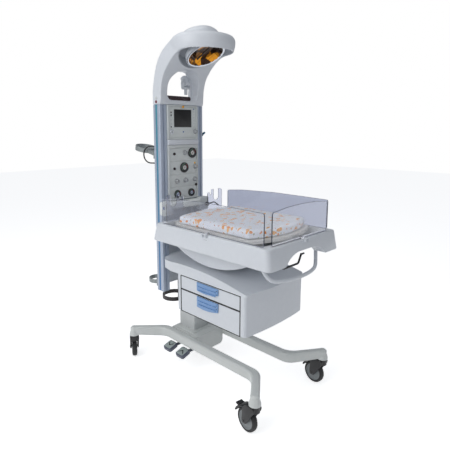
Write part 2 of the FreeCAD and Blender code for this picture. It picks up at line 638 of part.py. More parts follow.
# Head arch: two curved side lines drawn across the mast's width, then the round hood.
back_pts = [(rail_y1, arch_bottom), (rail_y1 - 2, arch_bottom + 85), (rail_y1 - 21, arch_bottom + 185),
            (rail_y1 - 72, hood_bottom - 4), (rail_y1 - 129, hood_top - 42), (hood_y + 34, hood_top - 10),
            (hood_y - 20, hood_top - 2)]
under_pts = [(rail_y0 - 3, arch_bottom), (rail_y0 - 9, arch_bottom + 52), (rail_y0 - 34, arch_bottom + 156),
             (rail_y0 - 87, hood_bottom - 56), (hood_y + 27, hood_bottom - 11), (hood_y - 20, hood_bottom + 3)]


def curve(points, x):
    line = Part.BSplineCurve()
    line.interpolate([V(x, y, z) for y, z in points])
    return line.toShape()


def sweep_side(back, under, x0, x1):
    ends = [Part.makeLine(V(x0, *back[0]), V(x0, *under[0])), Part.makeLine(V(x0, *back[-1]), V(x0, *under[-1]))]
    outline = Part.Wire(Part.__sortEdges__([curve(back, x0), curve(under, x0)] + ends))
    return Part.Face(outline).extrude(V(x1 - x0, 0, 0))


arch = sweep_side(back_pts, under_pts, -rail_out, rail_out)
crown = hood_top + crown_height
hood_line = [(0, hood_bottom), (hood_out - 11, hood_bottom), (hood_out - 2, hood_bottom + 32),
             (hood_out, hood_top - 26), (hood_out - 6, hood_top - 10), (hood_out - 20, hood_top), (122, hood_top + 4),
             (100, crown - 22), (62, crown - 6), (0, crown)]
edges = []
for i in range(len(hood_line) - 1):
    (r0, z0), (r1, z1) = hood_line[i], hood_line[i + 1]
    edges.append(Part.makeLine(V(r0, hood_y, z0), V(r1, hood_y, z1)))
edges.append(Part.makeLine(V(0, hood_y, crown), V(0, hood_y, hood_bottom)))
hood = Part.Face(Part.Wire(edges)).revolve(V(0, hood_y, 0), Z_AXIS, 360)
arch = arch.fuse(hood)
tilt = math.radians(dish_tilt)
down = V(0, -math.sin(tilt), -math.cos(tilt))
recess_r, recess_l = 150.0, 260.0
recess = Part.makeCylinder(recess_r, recess_l, V(0, hood_y - 5, recess_top - 12) - down * 60, down)
recess = recess.common(rod(0, hood_y, recess_top - recess_l, hood_out - hood_wall, recess_l, Z_AXIS))
arch = arch.cut(recess)
sill = arch_bottom + 30
window = [(-119, sill), (119, sill), (119, sill + 102), (58, sill + 154), (-58, sill + 154), (-119, sill + 102)]
arch = arch.cut(prism(window, [30, 30, 60, 60, 60, 60], "xz", 200, 470))
lamp_x, lamp_y, lamp_z = 46.0, rail_y0 + 17, arch_bottom + 140
arch = arch.cut(rod(lamp_x, lamp_y, arch_bottom + 8, 6 + fit, 40, Z_AXIS))
arch = arch.cut(block(-rail_in, rail_in, 300, 480, arch_bottom - 1, arch_bottom + 0.3))
nodes["head_arch"] = arch

# Alarm lens on the window's sill.
lens_y, lens_z = rail_y1 - 33, sill + seat
lens = prism([(lens_y, lens_z), (lens_y + 25, lens_z), (lens_y + 25, lens_z + 28), (lens_y + 12, lens_z + 28)],
             [2, 2, 4, 6], "yz", -108, 108)
nodes["alarm_lens"] = lens.common(prism([(-108, lens_z), (108, lens_z), (108, lens_z + 40), (-108, lens_z + 40)],
                                        [26, 26, 0, 0], "xz", lens_y - 1, lens_y + 30))

# Heater dish: tilted bowl with a guard grille over its mouth and a post to the hood.
dish_c = V(0, hood_y - 14, dish_z)
shell_o = [(0, 56), (60, 49), (96, 27), (110, 0), (106, 0), (92, 23), (57, 45), (0, 51)]
edges = []
for i in range(len(shell_o)):
    (r0, h0), (r1, h1) = shell_o[i], shell_o[(i + 1) % len(shell_o)]
    edges.append(Part.makeLine(V(r0, 0, h0), V(r1, 0, h1)))
bowl = Part.Face(Part.Wire(edges)).revolve(V(0, 0, 0), Z_AXIS, 360)
bowl = bowl.fuse(rod(0, 0, 0, 112, 5, Z_AXIS).cut(rod(0, 0, -1, 104, 7, Z_AXIS)))
for i in range(-3, 4):
    span = math.sqrt(108.0 ** 2 - (i * 28.0) ** 2)
    bowl = bowl.fuse(rod(i * 28.0, -span, 2.5, 1.6, 2 * span, Y_AXIS))
bowl = bowl.fuse(rod(0, -70, 22, 5, 140, Y_AXIS))
for y in (-66, 66):
    bowl = bowl.fuse(rod(0, y, 22, 3, 20, Z_AXIS))
bowl.rotate(V(0, 0, 0), X_AXIS, -dish_tilt)
bowl.translate(dish_c)
post_l = 28.0
post = rod(0, dish_c.y + 20, recess_top - post_l, 22, post_l - seat, Z_AXIS)
nodes["heater_dish"] = bowl.fuse(post)

# Lamp: fork on a post in the sill, barrel on two trunnions between the fork's cheeks.
fork = rod(lamp_x, lamp_y, arch_bottom + 12, 6, 80, Z_AXIS)
yoke_z = lamp_z - 54
fork = fork.fuse(block(lamp_x - 30, lamp_x + 30, lamp_y - 8, lamp_y + 8, yoke_z, yoke_z + 7))
for side in (-1, 1):
    x0 = lamp_x + side * 27.5 - 2.5
    fork = fork.fuse(block(x0, x0 + 5, lamp_y - 8, lamp_y + 8, yoke_z + 4, lamp_z + 8))
fork = fork.cut(rod(lamp_x - 40, lamp_y, lamp_z, 4 + fit, 80, X_AXIS))
nodes["lamp_fork"] = fork
barrel = rod(0, 0, -36, 22, 66, Z_AXIS)
barrel = soften(barrel, 4, level_edge(30))
barrel = barrel.cut(rod(0, 0, -37, 18, 8, Z_AXIS))
barrel.rotate(V(0, 0, 0), X_AXIS, -20)
barrel.translate(V(lamp_x, lamp_y, lamp_z))
barrel = barrel.fuse(rod(lamp_x - 31, lamp_y, lamp_z, 4, 62, X_AXIS))
barrel = barrel.fuse(rod(lamp_x - 42, lamp_y, lamp_z, 10, 11, X_AXIS))
nodes["lamp_barrel"] = barrel

# Belly pan under the tray, open below round the tower, with blocks for the trunnion.
belly_x = 205.0
belly_low = tray_bottom - 110.0
belly_top = tray_bottom - seat
belly_arc = Part.Arc(V(-belly_x, -440, belly_top), V(-belly_x, tilt_y, belly_low), V(-belly_x, 252, belly_top))
belly_lid = Part.makeLine(V(-belly_x, 252, belly_top), V(-belly_x, -440, belly_top))
belly_face = Part.Face(Part.Wire([belly_arc.toShape(), belly_lid]))
belly = belly_face.extrude(V(2 * belly_x, 0, 0))
hollow = belly_face.extrude(V(2 * belly_x - 10, 0, 0)).translated(V(5, 0, 5)).common(
    block(-belly_x, belly_x, -430, 242, 700, tray_bottom - 5))
blocks = block(-96, -63, tilt_y - 24, tilt_y + 24, 700, tray_bottom).fuse(
    block(63, 96, tilt_y - 24, tilt_y + 24, 700, tray_bottom))
belly = belly.cut(hollow.cut(blocks))
belly = belly.cut(block(-62.5, 62.5, tilt_y - 80, tilt_y + 80, 700, tray_bottom - 6))
belly = belly.cut(rod(-97, tilt_y, tilt_z, trunnion_r + fit, 194, X_AXIS))
nodes["belly_pan"] = belly

# Bed tray: drafted shell with a rim, panel slots and an arched foot wall.
tray_plan = [(-tray_x, tray_foot), (tray_x, tray_foot), (tray_x, tray_head), (-tray_x, tray_head)]


def draft_block(x0, y0, y1, z0, z1, inset, r):
    low = face([(-x0 + inset, y0 + inset), (x0 - inset, y0 + inset), (x0 - inset, y1 - inset),
                (-x0 + inset, y1 - inset)], r, "xy", z0)
    high = face([(-x0, y0), (x0, y0), (x0, y1), (-x0, y1)], r, "xy", z1)
    return Part.makeLoft([low.OuterWire, high.OuterWire], True)


tray = draft_block(tray_x, tray_foot, tray_head, tray_bottom, tray_rim, 5, 24)
tray = soften(tray, 6, level_edge(tray_rim))
in_x1 = tray_x - rim_w
in_foot, in_head = tray_foot + 52, tray_head - 40
tray = tray.cut(round_block(-in_x1, in_x1, in_foot, in_head, floor_z, tray_rim + 1, 30))
arch_cut = [(-128, tray_bottom - 1), (128, tray_bottom - 1), (96, tray_bottom + 44), (-96, tray_bottom + 44)]
tray = tray.cut(prism(arch_cut, [0, 0, 60, 60], "xz", tray_foot - 5, in_foot + 10))
under = round_block(-tray_x + 14, tray_x - 14, in_foot + 20, tray_head - 14, tray_bottom - 1, floor_z - 5, 20)
tray = tray.cut(under.cut(block(-belly_x - 12, belly_x + 12, -452, 262, tray_bottom - 2, floor_z)))
side_x = 268.0
foot_y = -530.0
head_y = 238.0
slot_w = panel_t + 1.0
slot_z = tray_rim - 16
side_y0, side_y1 = -515.0, 222.0
foot_half = 232.0
head_half = 226.0
for side in (-1, 1):
    tray = tray.cut(block(side * side_x - slot_w / 2, side * side_x + slot_w / 2, side_y0 - 1, side_y1 + 1,
                          tray_rim - 4, tray_rim + 1))
tray = tray.cut(block(-foot_half - 1, foot_half + 1, foot_y - slot_w / 2, foot_y + slot_w / 2,
                      tray_rim - 4, tray_rim + 1))
tray = tray.cut(block(-head_half - 0.5, head_half + 0.5, head_y - panel_t / 2 - 0.2, head_y + panel_t / 2 + 0.2,
                      slot_z, tray_rim + 1))
lug_w = 10.0
side_lugs = (-330.0, 60.0)
foot_lugs = (-140.0, 140.0)
side_hinge = tray_x + hinge_out
foot_hinge = tray_foot - hinge_out
for y in side_lugs:
    for side in (-1, 1):
        x0, x1 = sorted((side * (tray_x - 4), side * (side_hinge + 6)))
        for y0 in (y - 20, y + 10):
            lug = block(x0, x1, y0, y0 + lug_w, hinge_z - 24, hinge_z + 5)
            tray = tray.fuse(lug)
        tray = tray.fuse(rod(side * side_hinge, y - 20, hinge_z, pin_r, 40, Y_AXIS))
for x in foot_lugs:
    for x0 in (x - 20, x + 10):
        tray = tray.fuse(block(x0, x0 + lug_w, foot_hinge - 6, tray_foot + 4, hinge_z - 24, hinge_z + 5))
    tray = tray.fuse(rod(x - 20, foot_hinge, hinge_z, pin_r, 40, X_AXIS))
handle_x = 236.0
handle_y = -488.0
nodes["bed_tray"] = tray


# Clear panels: arched top edge, rounded corners, two hinge arms each.
def side_panel(side):
    x0 = side * side_x - panel_t / 2
    low = tray_rim + 1
    pts = [(side_y0, low), (side_y1, low), (side_y1, panel_top - 18), (-150, panel_top + 5),
           (side_y0, panel_top)]
    plate = prism(pts, [4, 4, 12, 900, 14], "yz", x0, x0 + panel_t)
    for y in side_lugs:
        a, b = sorted((side * side_x, side * side_hinge))
        plate = plate.fuse(block(a, b, y - 9.5, y + 9.5, hinge_z - 3, hinge_z + 5))
        plate = plate.fuse(rod(side * side_hinge, y - 9.5, hinge_z, 5, 19, Y_AXIS))
        plate = plate.cut(rod(side * side_hinge, y - 12, hinge_z, pin_r + fit, 24, Y_AXIS))
    return plate


nodes["side_panel_left"] = side_panel(-1)
nodes["side_panel_right"] = side_panel(1)
foot_pts = [(-foot_half, tray_rim + 1), (foot_half, tray_rim + 1), (foot_half, panel_top), (0, panel_top + 26),
            (-foot_half, panel_top)]
foot = prism(foot_pts, [4, 4, 14, 1200, 14], "xz", foot_y - panel_t / 2, foot_y + panel_t / 2)
for x in foot_lugs:
    foot = foot.fuse(block(x - 9.5, x + 9.5, foot_hinge, foot_y, hinge_z - 3, hinge_z + 5))
    foot = foot.fuse(rod(x - 9.5, foot_hinge, hinge_z, 5, 19, X_AXIS))
    foot = foot.cut(rod(x - 12, foot_hinge, hinge_z, pin_r + fit, 24, X_AXIS))
nodes["foot_panel"] = foot

# Head panel: low in the middle, with U notches for tubes at both sides.
head = prism([(-head_half, slot_z + seat), (head_half, slot_z + seat), (head_half, panel_top - 4),
              (-head_half, panel_top - 4)], [0, 0, 14, 14], "xz", head_y - panel_t / 2, head_y + panel_t / 2)
head = head.cut(prism([(-100, 1006), (100, 1006), (100, 1110), (-100, 1110)], [20, 20, 0, 0], "xz", 200, 280))
for side in (-1, 1):
    for mid_x, half_w, low in ((174, 22, 1022), (124, 8, 1058)):
        a, b = side * mid_x - half_w, side * mid_x + half_w
        head = head.cut(prism([(a, low), (b, low), (b, 1110), (a, 1110)],
                              [half_w * 0.95, half_w * 0.95, 0, 0], "xz", 200, 280))
    a, b = sorted((side * 95, side * 132))
    head = head.cut(block(a, b, 200, 280, 1074, 1110))
nodes["head_panel"] = head

# Platform and mattress: straight sides and a bowed foot edge.
half_w = mattress_w / 2
mattress_head = mattress_foot + mattress_l
for name, z0, z1, grow in (("mattress_platform", platform_z0, platform_z1, 4.0),
                           ("mattress", platform_z1 + seat, mattress_top, 0.0)):
    w = half_w + grow
    slab = bowed_plan(w, mattress_foot - grow, 62, [(w, mattress_head - 60), (w - 40, mattress_head + grow),
                                                    (-w + 40, mattress_head + grow), (-w, mattress_head - 60)],
                      z0, z1)
    nodes[name] = slab
legs = nodes["mattress_platform"]
for x in (-150.0, 150.0):
    for y in (-300.0, 60.0):
        legs = legs.fuse(rod(x, y, floor_z + seat, 14, platform_z0 - floor_z, Z_AXIS))
nodes["mattress_platform"] = legs

# Push handle under the foot end of the tray and the tilt lever inside it.
grip = tube([(-handle_x, handle_y, tray_bottom - seat), (-196, handle_y, 752), (196, handle_y, 752),
             (handle_x, handle_y, tray_bottom - seat)], 8, 30)
grip = grip.common(block(-300, 300, -700, -300, 600, tray_bottom - seat))
nodes["push_handle"] = grip
tilt_lever_x = 92.0
tilt_lever_z = 826.0
lever_y = -476.0
mount_ear = block(-tilt_lever_x - 24, -tilt_lever_x - 12, lever_y - 10, lever_y + 10, tilt_lever_z - 10, floor_z)
mount_ear2 = block(tilt_lever_x + 12, tilt_lever_x + 24, lever_y - 10, lever_y + 10, tilt_lever_z - 10, floor_z)
tray = nodes["bed_tray"].fuse(mount_ear).fuse(mount_ear2)
for x in (-tilt_lever_x - 18, tilt_lever_x + 18):
    tray = tray.cut(rod(x - 8, lever_y, tilt_lever_z, 5 + fit, 16, X_AXIS))
nodes["bed_tray"] = tray
bail = tube([(-tilt_lever_x, lever_y, tilt_lever_z + 4), (-tilt_lever_x + 26, lever_y, 782),
             (tilt_lever_x - 26, lever_y, 782), (tilt_lever_x, lever_y, tilt_lever_z + 4)], 5.5, 16)
for side in (-1, 1):
    a, b = sorted((side * (tilt_lever_x - 4), side * (tilt_lever_x + 23)))
    bail = bail.fuse(rod(a, lever_y, tilt_lever_z, 5, b - a, X_AXIS))
nodes["tilt_lever"] = bail

# Move the whole set so that the origin is the middle of its footprint on the floor.
everything = Part.makeCompound(list(nodes.values()))
size = everything.optimalBoundingBox(False, False) if hasattr(everything, "optimalBoundingBox") else everything.BoundBox
home = V(-(size.XMin + size.XMax) / 2, -(size.YMin + size.YMax) / 2, -size.ZMin)
print("home", home.x, home.y, home.z, "size", size.XLength, size.YLength, size.ZLength)

os.makedirs("parts", exist_ok=True)
for name, shape in nodes.items():
    shape = shape.removeSplitter().translated(home)
    if len(shape.Solids) != 1 or not shape.isValid():
        print("CHECK", name, len(shape.Solids), shape.isValid())
    shape.Solids[0].exportStep("parts/" + name + ".step")
print(len(nodes), "nodes")
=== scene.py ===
import bmesh
import bpy
import math
from mathutils import Matrix, Vector


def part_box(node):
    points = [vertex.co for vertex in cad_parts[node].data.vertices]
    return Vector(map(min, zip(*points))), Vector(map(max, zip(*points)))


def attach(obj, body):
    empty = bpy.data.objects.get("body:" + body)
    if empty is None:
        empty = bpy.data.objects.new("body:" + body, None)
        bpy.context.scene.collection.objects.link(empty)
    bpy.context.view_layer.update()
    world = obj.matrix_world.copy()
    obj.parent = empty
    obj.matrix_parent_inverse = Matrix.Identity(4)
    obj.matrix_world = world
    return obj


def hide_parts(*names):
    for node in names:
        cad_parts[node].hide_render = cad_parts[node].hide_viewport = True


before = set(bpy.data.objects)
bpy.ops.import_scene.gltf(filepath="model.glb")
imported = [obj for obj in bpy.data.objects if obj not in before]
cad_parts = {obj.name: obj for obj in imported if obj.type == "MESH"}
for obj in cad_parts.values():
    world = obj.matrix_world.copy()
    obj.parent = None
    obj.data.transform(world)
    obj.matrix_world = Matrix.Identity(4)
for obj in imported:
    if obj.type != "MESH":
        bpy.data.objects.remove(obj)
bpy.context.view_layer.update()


# Studio. A pale floor and backdrop, a large soft window of light from the
# near side and a weak one from the foot end. All places in this file are in
# metres from the datum, a point on the floor 0.265 m before the lift column.
column_low, column_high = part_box("column_outer")
datum = Vector(((column_low.x + column_high.x) / 2, (column_low.y + column_high.y) / 2 - 0.265, 0))


def linear(colour):
    """The linear RGBA value of an sRGB hex colour."""
    parts = [int(colour[i:i + 2], 16) / 255 for i in (1, 3, 5)]
    return [c / 12.92 if c <= 0.04045 else ((c + 0.055) / 1.055) ** 2.4 for c in parts] + [1.0]


def add_node(tree, kind, settings=None, links=None):
    """Adds a node with its options and values, and links {its input: (node, output)}."""
    node = tree.nodes.new("ShaderNode" + kind)
    for key, value in (settings or {}).items():
        if isinstance(key, str) and hasattr(node, key):
            setattr(node, key, value)
        else:
            node.inputs[key].default_value = value
    for key, (source, output) in (links or {}).items():
        tree.links.new(source.outputs[output], node.inputs[key])
    return node


def bare(name):
    """A new material with an empty node tree."""
    made = bpy.data.materials.new(name)
    made.use_nodes = True
    made.node_tree.nodes.clear()
    return made


def linked(name, data):
    """A new object of the scene with that mesh, curve, lamp or camera."""
    made = bpy.data.objects.new(name, data)
    bpy.context.scene.collection.objects.link(made)
    return made


def meshed(name, bm):
    """A new mesh from a bmesh, which is freed."""
    mesh = bpy.data.meshes.new(name)
    bm.to_mesh(mesh)
    bm.free()
    return mesh


camera_data = bpy.data.cameras.new("camera")
sensor_mm, picture_px, focal_px, centre_x_px, centre_y_px = 36.0, 450, 426.6, 216.9, 203.6
camera_data.sensor_width = sensor_mm
camera_data.lens = sensor_mm * focal_px / picture_px
camera_data.shift_x = (picture_px / 2 - centre_x_px) / picture_px
camera_data.shift_y = (centre_y_px - picture_px / 2) / picture_px
camera_data.clip_start = 0.05
camera = linked("camera", camera_data)
camera.location = datum + Vector((-1.733, -1.683, 1.464))
look_down, look_round = 9.828, -44.932
camera.rotation_euler = (math.radians(90 - look_down), 0, math.radians(look_round))
bpy.context.scene.camera = camera
bpy.context.scene.view_settings.view_transform = "Standard"

floor_colour = "#f6f6f6"
floor_half = 14.0
bm = bmesh.new()
bmesh.ops.create_grid(bm, x_segments=1, y_segments=1, size=floor_half)
mesh = meshed("floor", bm)
floor = linked("floor", mesh)
material = bare("floor")
tree = material.node_tree
path = add_node(tree, "LightPath")
seen = add_node(tree, "Math", {"operation": "MAXIMUM"}, {0: (path, "Is Camera Ray"), 1: (path, "Is Glossy Ray")})
seen = add_node(tree, "Math", {"operation": "MAXIMUM"}, {0: (seen, 0), 1: (path, "Is Transmission Ray")})
lift = add_node(tree, "Math", {"operation": "MULTIPLY", 1: 0.66}, {0: (seen, 0)})
card = add_node(tree, "BsdfDiffuse", {"Color": linear(floor_colour)})
glow = add_node(tree, "Emission", {"Color": (1, 1, 1, 1)}, {"Strength": (lift, 0)})
both = add_node(tree, "AddShader", None, {0: (card, 0), 1: (glow, 0)})
add_node(tree, "OutputMaterial", None, {"Surface": (both, 0)})
mesh.materials.append(material)

world = bpy.data.worlds.new("studio")
bpy.context.scene.world = world
world.use_nodes = True
tree = world.node_tree
tree.nodes.clear()
path = add_node(tree, "LightPath")
seen = add_node(tree, "Math", {"operation": "MAXIMUM"},
                {0: (path, "Is Camera Ray"), 1: (path, "Is Transmission Ray")})
dim = add_node(tree, "Background", {"Color": linear("#e9edf4"), "Strength": 0.36})
white = add_node(tree, "Background", {"Color": (1, 1, 1, 1), "Strength": 1.0})
mix = add_node(tree, "MixShader", None, {0: (seen, 0), 1: (dim, 0), 2: (white, 0)})
add_node(tree, "OutputWorld", None, {"Surface": (mix, 0)})

for name, place, target, size, power in (
        ("window_near", (-3.2, 0.2, 2.4), (0, 0, 1.1), 2.6, 50),
        ("window_foot", (-0.6, -3.4, 2.6), (0, 0, 1.0), 2.2, 10),
        ("window_top", (-0.6, 0.6, 4.0), (0, 0, 1.0), 2.4, 20)):
    lamp_data = bpy.data.lights.new(name, "AREA")
    lamp_data.size = size
    lamp_data.energy = power
    lamp = linked(name, lamp_data)
    lamp.location = datum + Vector(place)
    lamp.rotation_euler = (Vector(place) - Vector(target)).to_track_quat("Z", "Y").to_euler()


# Base legs and hub. Welded steel tube under a pale grey powder coat, which
# gives a soft gloss with a fine orange-peel texture.
def finish(name, colour, shade, roughness, grain, bump, metallic=0.0, coat=0.0):
    """An even coloured finish: colour drifts to shade over the grain, with a fine relief."""
    made = bare(name)
    tree = made.node_tree
    place = add_node(tree, "TexCoord")
    drift = add_node(tree, "TexNoise", {"Scale": 0.04 / grain, "Detail": 3.0}, {"Vector": (place, "Object")})
    tone = add_node(tree, "Mix", {"data_type": "RGBA", 6: linear(colour), 7: linear(shade)}, {0: (drift, 0)})
    peel = add_node(tree, "TexNoise", {"Scale": 1.0 / grain, "Detail": 2.0}, {"Vector": (place, "Object")})
    gloss = add_node(tree, "MapRange", {"To Min": roughness * 0.85, "To Max": roughness * 1.2},
                     {"Value": (drift, 0)})
    relief = add_node(tree, "Bump", {"Strength": 0.25, "Distance": bump}, {"Height": (peel, 0)})
    shader = add_node(tree, "BsdfPrincipled", {"Metallic": metallic, "Coat Weight": coat, "Coat Roughness": 0.08},
                      {"Base Color": (tone, 2), "Roughness": (gloss, 0), "Normal": (relief, 0)})
    add_node(tree, "OutputMaterial", None, {"Surface": (shader, 0)})
    return made


def dress(material, *nodes):
    """Gives solids of the frame their finish."""
    for name in nodes:
        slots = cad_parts[name].material_slots
        for slot in slots:
            slot.link = "OBJECT"
            slot.material = material
        if not slots:
            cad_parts[name].data.materials.append(material)


powder_coat = finish("powder_coated_steel", "#dcdfdc", "#d4d8d6", 0.32, 0.0016, 0.0002, coat=0.15)
dress(powder_coat, "left_leg", "right_leg", "base_hub")


# Casters. Each has a moulded nylon fork on a swivel stem, a grey wheel body
# with a black tread on it, and, at the foot end, a brake pedal on its hood.
caster_x, caster_y = 0.300, 0.504
trail = 0.052
wheel_r = 0.0625
fork_half, cheek_t, stem_z = 0.028, 0.0085, 0.1417
casters = {"fl": (-1, -1, -8), "fr": (1, -1, -6), "rl": (-1, 1, -30), "rr": (1, 1, 28)}


def shift(x, y, z):
    """A shift in metres."""
    return Matrix.Translation((x, y, z))


def rotate(degrees, axis):
    """A turn about an axis through the origin."""
    return Matrix.Rotation(math.radians(degrees), 4, axis)


def turned(profile, place, steps=72, ring=False):
    """Spins a line of (radius, height) points round Z and sets it in place."""
    bm = bmesh.new()
    line = [bm.verts.new((r, 0, h)) for r, h in profile]
    pairs = list(zip(line, line[1:] + line[:1])) if ring else list(zip(line, line[1:]))
    edges = [bm.edges.new(pair) for pair in pairs]
    bmesh.ops.spin(bm, geom=line + edges, cent=(0, 0, 0), axis=(0, 0, 1), angle=math.tau, steps=steps,
                   use_merge=True, use_duplicate=False)
    bmesh.ops.remove_doubles(bm, verts=bm.verts, dist=0.00001)
    bmesh.ops.recalc_face_normals(bm, faces=bm.faces)
    bmesh.ops.transform(bm, matrix=place, verts=bm.verts)
    return bm


def round_off(bm, geom, offset, segments, affect):
    """Rounds edges or flat corners."""
    bmesh.ops.bevel(bm, geom=geom, offset=offset, segments=segments, profile=0.5, affect=affect,
                    clamp_overlap=True, material=-1)


def plate(corners, radius, depth, place, edge=0.0, corner_steps=6, edge_steps=3):
    """An outline of (x, y) corners, rounded by radius, given a depth along Z and softened edges."""
    bm = bmesh.new()
    bm.faces.new([bm.verts.new((x, y, 0)) for x, y in corners])
    if radius:
        round_off(bm, bm.verts[:], radius, corner_steps, "VERTICES")
    raised = bmesh.ops.extrude_face_region(bm, geom=bm.faces[:])["geom"]
    bmesh.ops.translate(bm, verts=[v for v in raised if isinstance(v, bmesh.types.BMVert)], vec=(0, 0, depth))
    bmesh.ops.recalc_face_normals(bm, faces=bm.faces)
    if edge:
        rims = [e for e in bm.edges
                if e.calc_face_angle(0) > 1.2 and abs(e.verts[0].co.z - e.verts[1].co.z) < 1e-6]
        round_off(bm, rims, edge, edge_steps, "EDGES")
    bmesh.ops.transform(bm, matrix=place, verts=bm.verts)
    return bm


def settled(first, *others):
    """The first object's shape after its modifiers, as a bmesh; the objects are removed."""
    result = bmesh.new()
    result.from_object(first, bpy.context.evaluated_depsgraph_get())
    for obj in (first, *others):
        mesh = obj.data
        bpy.data.objects.remove(obj)
        bpy.data.meshes.remove(mesh)
    return result


def carve(bm, tool, operation="DIFFERENCE"):
    """Cuts one closed mesh with another, joins the two or keeps what they share."""
    first, second = [linked("work", meshed("work", source)) for source in (bm, tool)]
    cutter = first.modifiers.new("carve", "BOOLEAN")
    cutter.object = second
    cutter.operation = operation
    cutter.solver = "EXACT"
    return settled(first, second)


def piece(name, bm, material, body, crease=34.0):
    """Moves a finished mesh to the datum and makes it a piece that rides on a body."""
    bmesh.ops.translate(bm, verts=bm.verts, vec=datum)
    for face in bm.faces:
        face.smooth = True
    for edge in bm.edges:
        edge.smooth = len(edge.link_faces) == 2 and edge.calc_face_angle(0) < math.radians(crease)
    mesh = meshed(name, bm)
    mesh.materials.append(material)
    made = linked(name, mesh)
    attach(made, body)
    return made


on_x = rotate(90, "Y")
side_view = Matrix(((0, 0, 1, 0), (1, 0, 0, 0), (0, 1, 0, 0), (0, 0, 0, 1)))
rail_alloy = finish("anodised_aluminium", "#b9c3d3", "#b1bbcb", 0.36, 0.0012, 0.0001, metallic=0.25)
black_nylon = finish("moulded_black_nylon", "#0f0f12", "#141418", 0.42, 0.0012, 0.0003)
tread_rubber = finish("tread_rubber", "#232426", "#2c2c2d", 0.62, 0.0010, 0.0004)
wheel_body = finish("moulded_wheel_grey", "#8d9294", "#868b8d", 0.38, 0.0012, 0.0002)
tyre_line = [(0.0475, -0.0125), (0.0550, -0.0150), (0.0600, -0.0125), (0.0623, -0.0070), (0.0625, 0.0),
             (0.0623, 0.0070), (0.0600, 0.0125), (0.0550, 0.0150), (0.0475, 0.0125)]
disc_line = [(0.0062, -0.0160), (0.0150, -0.0160), (0.0170, -0.0120), (0.0400, -0.0095), (0.0440, -0.0130),
             (0.0475, -0.0135), (0.0480, 0.0), (0.0475, 0.0135), (0.0440, 0.0130), (0.0400, 0.0095),
             (0.0170, 0.0120), (0.0150, 0.0160), (0.0062, 0.0160)]
axle_line = [(0, -0.0302), (0.005, -0.0300), (0.0070, -0.0282), (0.0070, -0.0195), (0.0056, -0.0188),
             (0.0056, 0.0188), (0.0070, 0.0195), (0.0070, 0.0282), (0.005, 0.0300), (0, 0.0302)]
neck_line = [(0, -0.012), (0.024, -0.012), (0.026, -0.010), (0.026, 0.022), (0.023, 0.026), (0, 0.026)]
cheek_line = [(-0.020, 0.160), (-0.020, stem_z), (0.038, 0.050), (0.066, 0.050), (0.068, 0.078), (0.062, 0.136),
              (0.030, 0.160)]
guard = [(trail + r * math.cos(math.radians(a)), wheel_r + r * math.sin(math.radians(a)))
         for r, turns in ((0.0745, range(20, 91, 10)), (0.0670, range(130, 19, -10))) for a in turns]
bridge_line = guard[:8] + [(0.029, 0.159), (-0.019, 0.159), (-0.019, 0.138), (-0.002, 0.134)] + guard[8:]


def joined(*parts):
    """Puts several meshes into one."""
    whole = bmesh.new()
    for part in parts:
        mesh = meshed("work", part)
        whole.from_mesh(mesh)
        bpy.data.meshes.remove(mesh)
    return whole


for tag, (side, end, turn) in casters.items():
    stand = shift(side * caster_x, end * caster_y, 0) @ rotate(turn, "Z")
    hub = stand @ shift(0, trail, wheel_r) @ on_x
    piece("tyre_" + tag, turned(tyre_line, hub, ring=True), tread_rubber, "wheel_" + tag)
    disc = piece("wheel_disc_" + tag, turned(disc_line, hub, ring=True), wheel_body, "wheel_" + tag)
    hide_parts("caster_wheel_" + tag)
    cheeks = [plate(cheek_line, 0.009, cheek_t, stand @ shift(x, 0, 0) @ side_view, 0.003)
              for x in (-fork_half, fork_half - cheek_t)]
    bridge_at = stand @ shift(-fork_half + 0.002, 0, 0) @ side_view
    bridge = plate(bridge_line, 0.0, fork_half * 2 - 0.004, bridge_at, 0.0024)
    shell = joined(*cheeks, bridge)
    collar = turned(neck_line, stand @ shift(0, 0, stem_z), 48)
    piece("fork_collar_" + tag, collar, black_nylon, "caster_" + tag)
    fork = piece("fork_" + tag, shell, black_nylon, "caster_" + tag)
    piece("axle_cap_" + tag, turned(axle_line, hub), black_nylon, "caster_" + tag)
    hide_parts("caster_fork_" + tag)
dress(black_nylon, "caster_brake_fl", "caster_brake_fr")


# Foot pedals. A slate nylon boot with a light tread pad set in it; a raised
# chevron on each pad shows which way the bed moves.
pedal_x = -0.176
pedal_z = 0.120
slate_nylon = finish("moulded_slate_nylon", "#5f6473", "#575c6b", 0.45, 0.0012, 0.0003)
pad_green = finish("moulded_pad_green", "#a5b0ae", "#9ca7a6", 0.50, 0.0008, 0.0003)


def rect(x0, x1, y0, y1):
    """The corners of a rectangle."""
    return [(x0, y0), (x1, y0), (x1, y1), (x0, y1)]


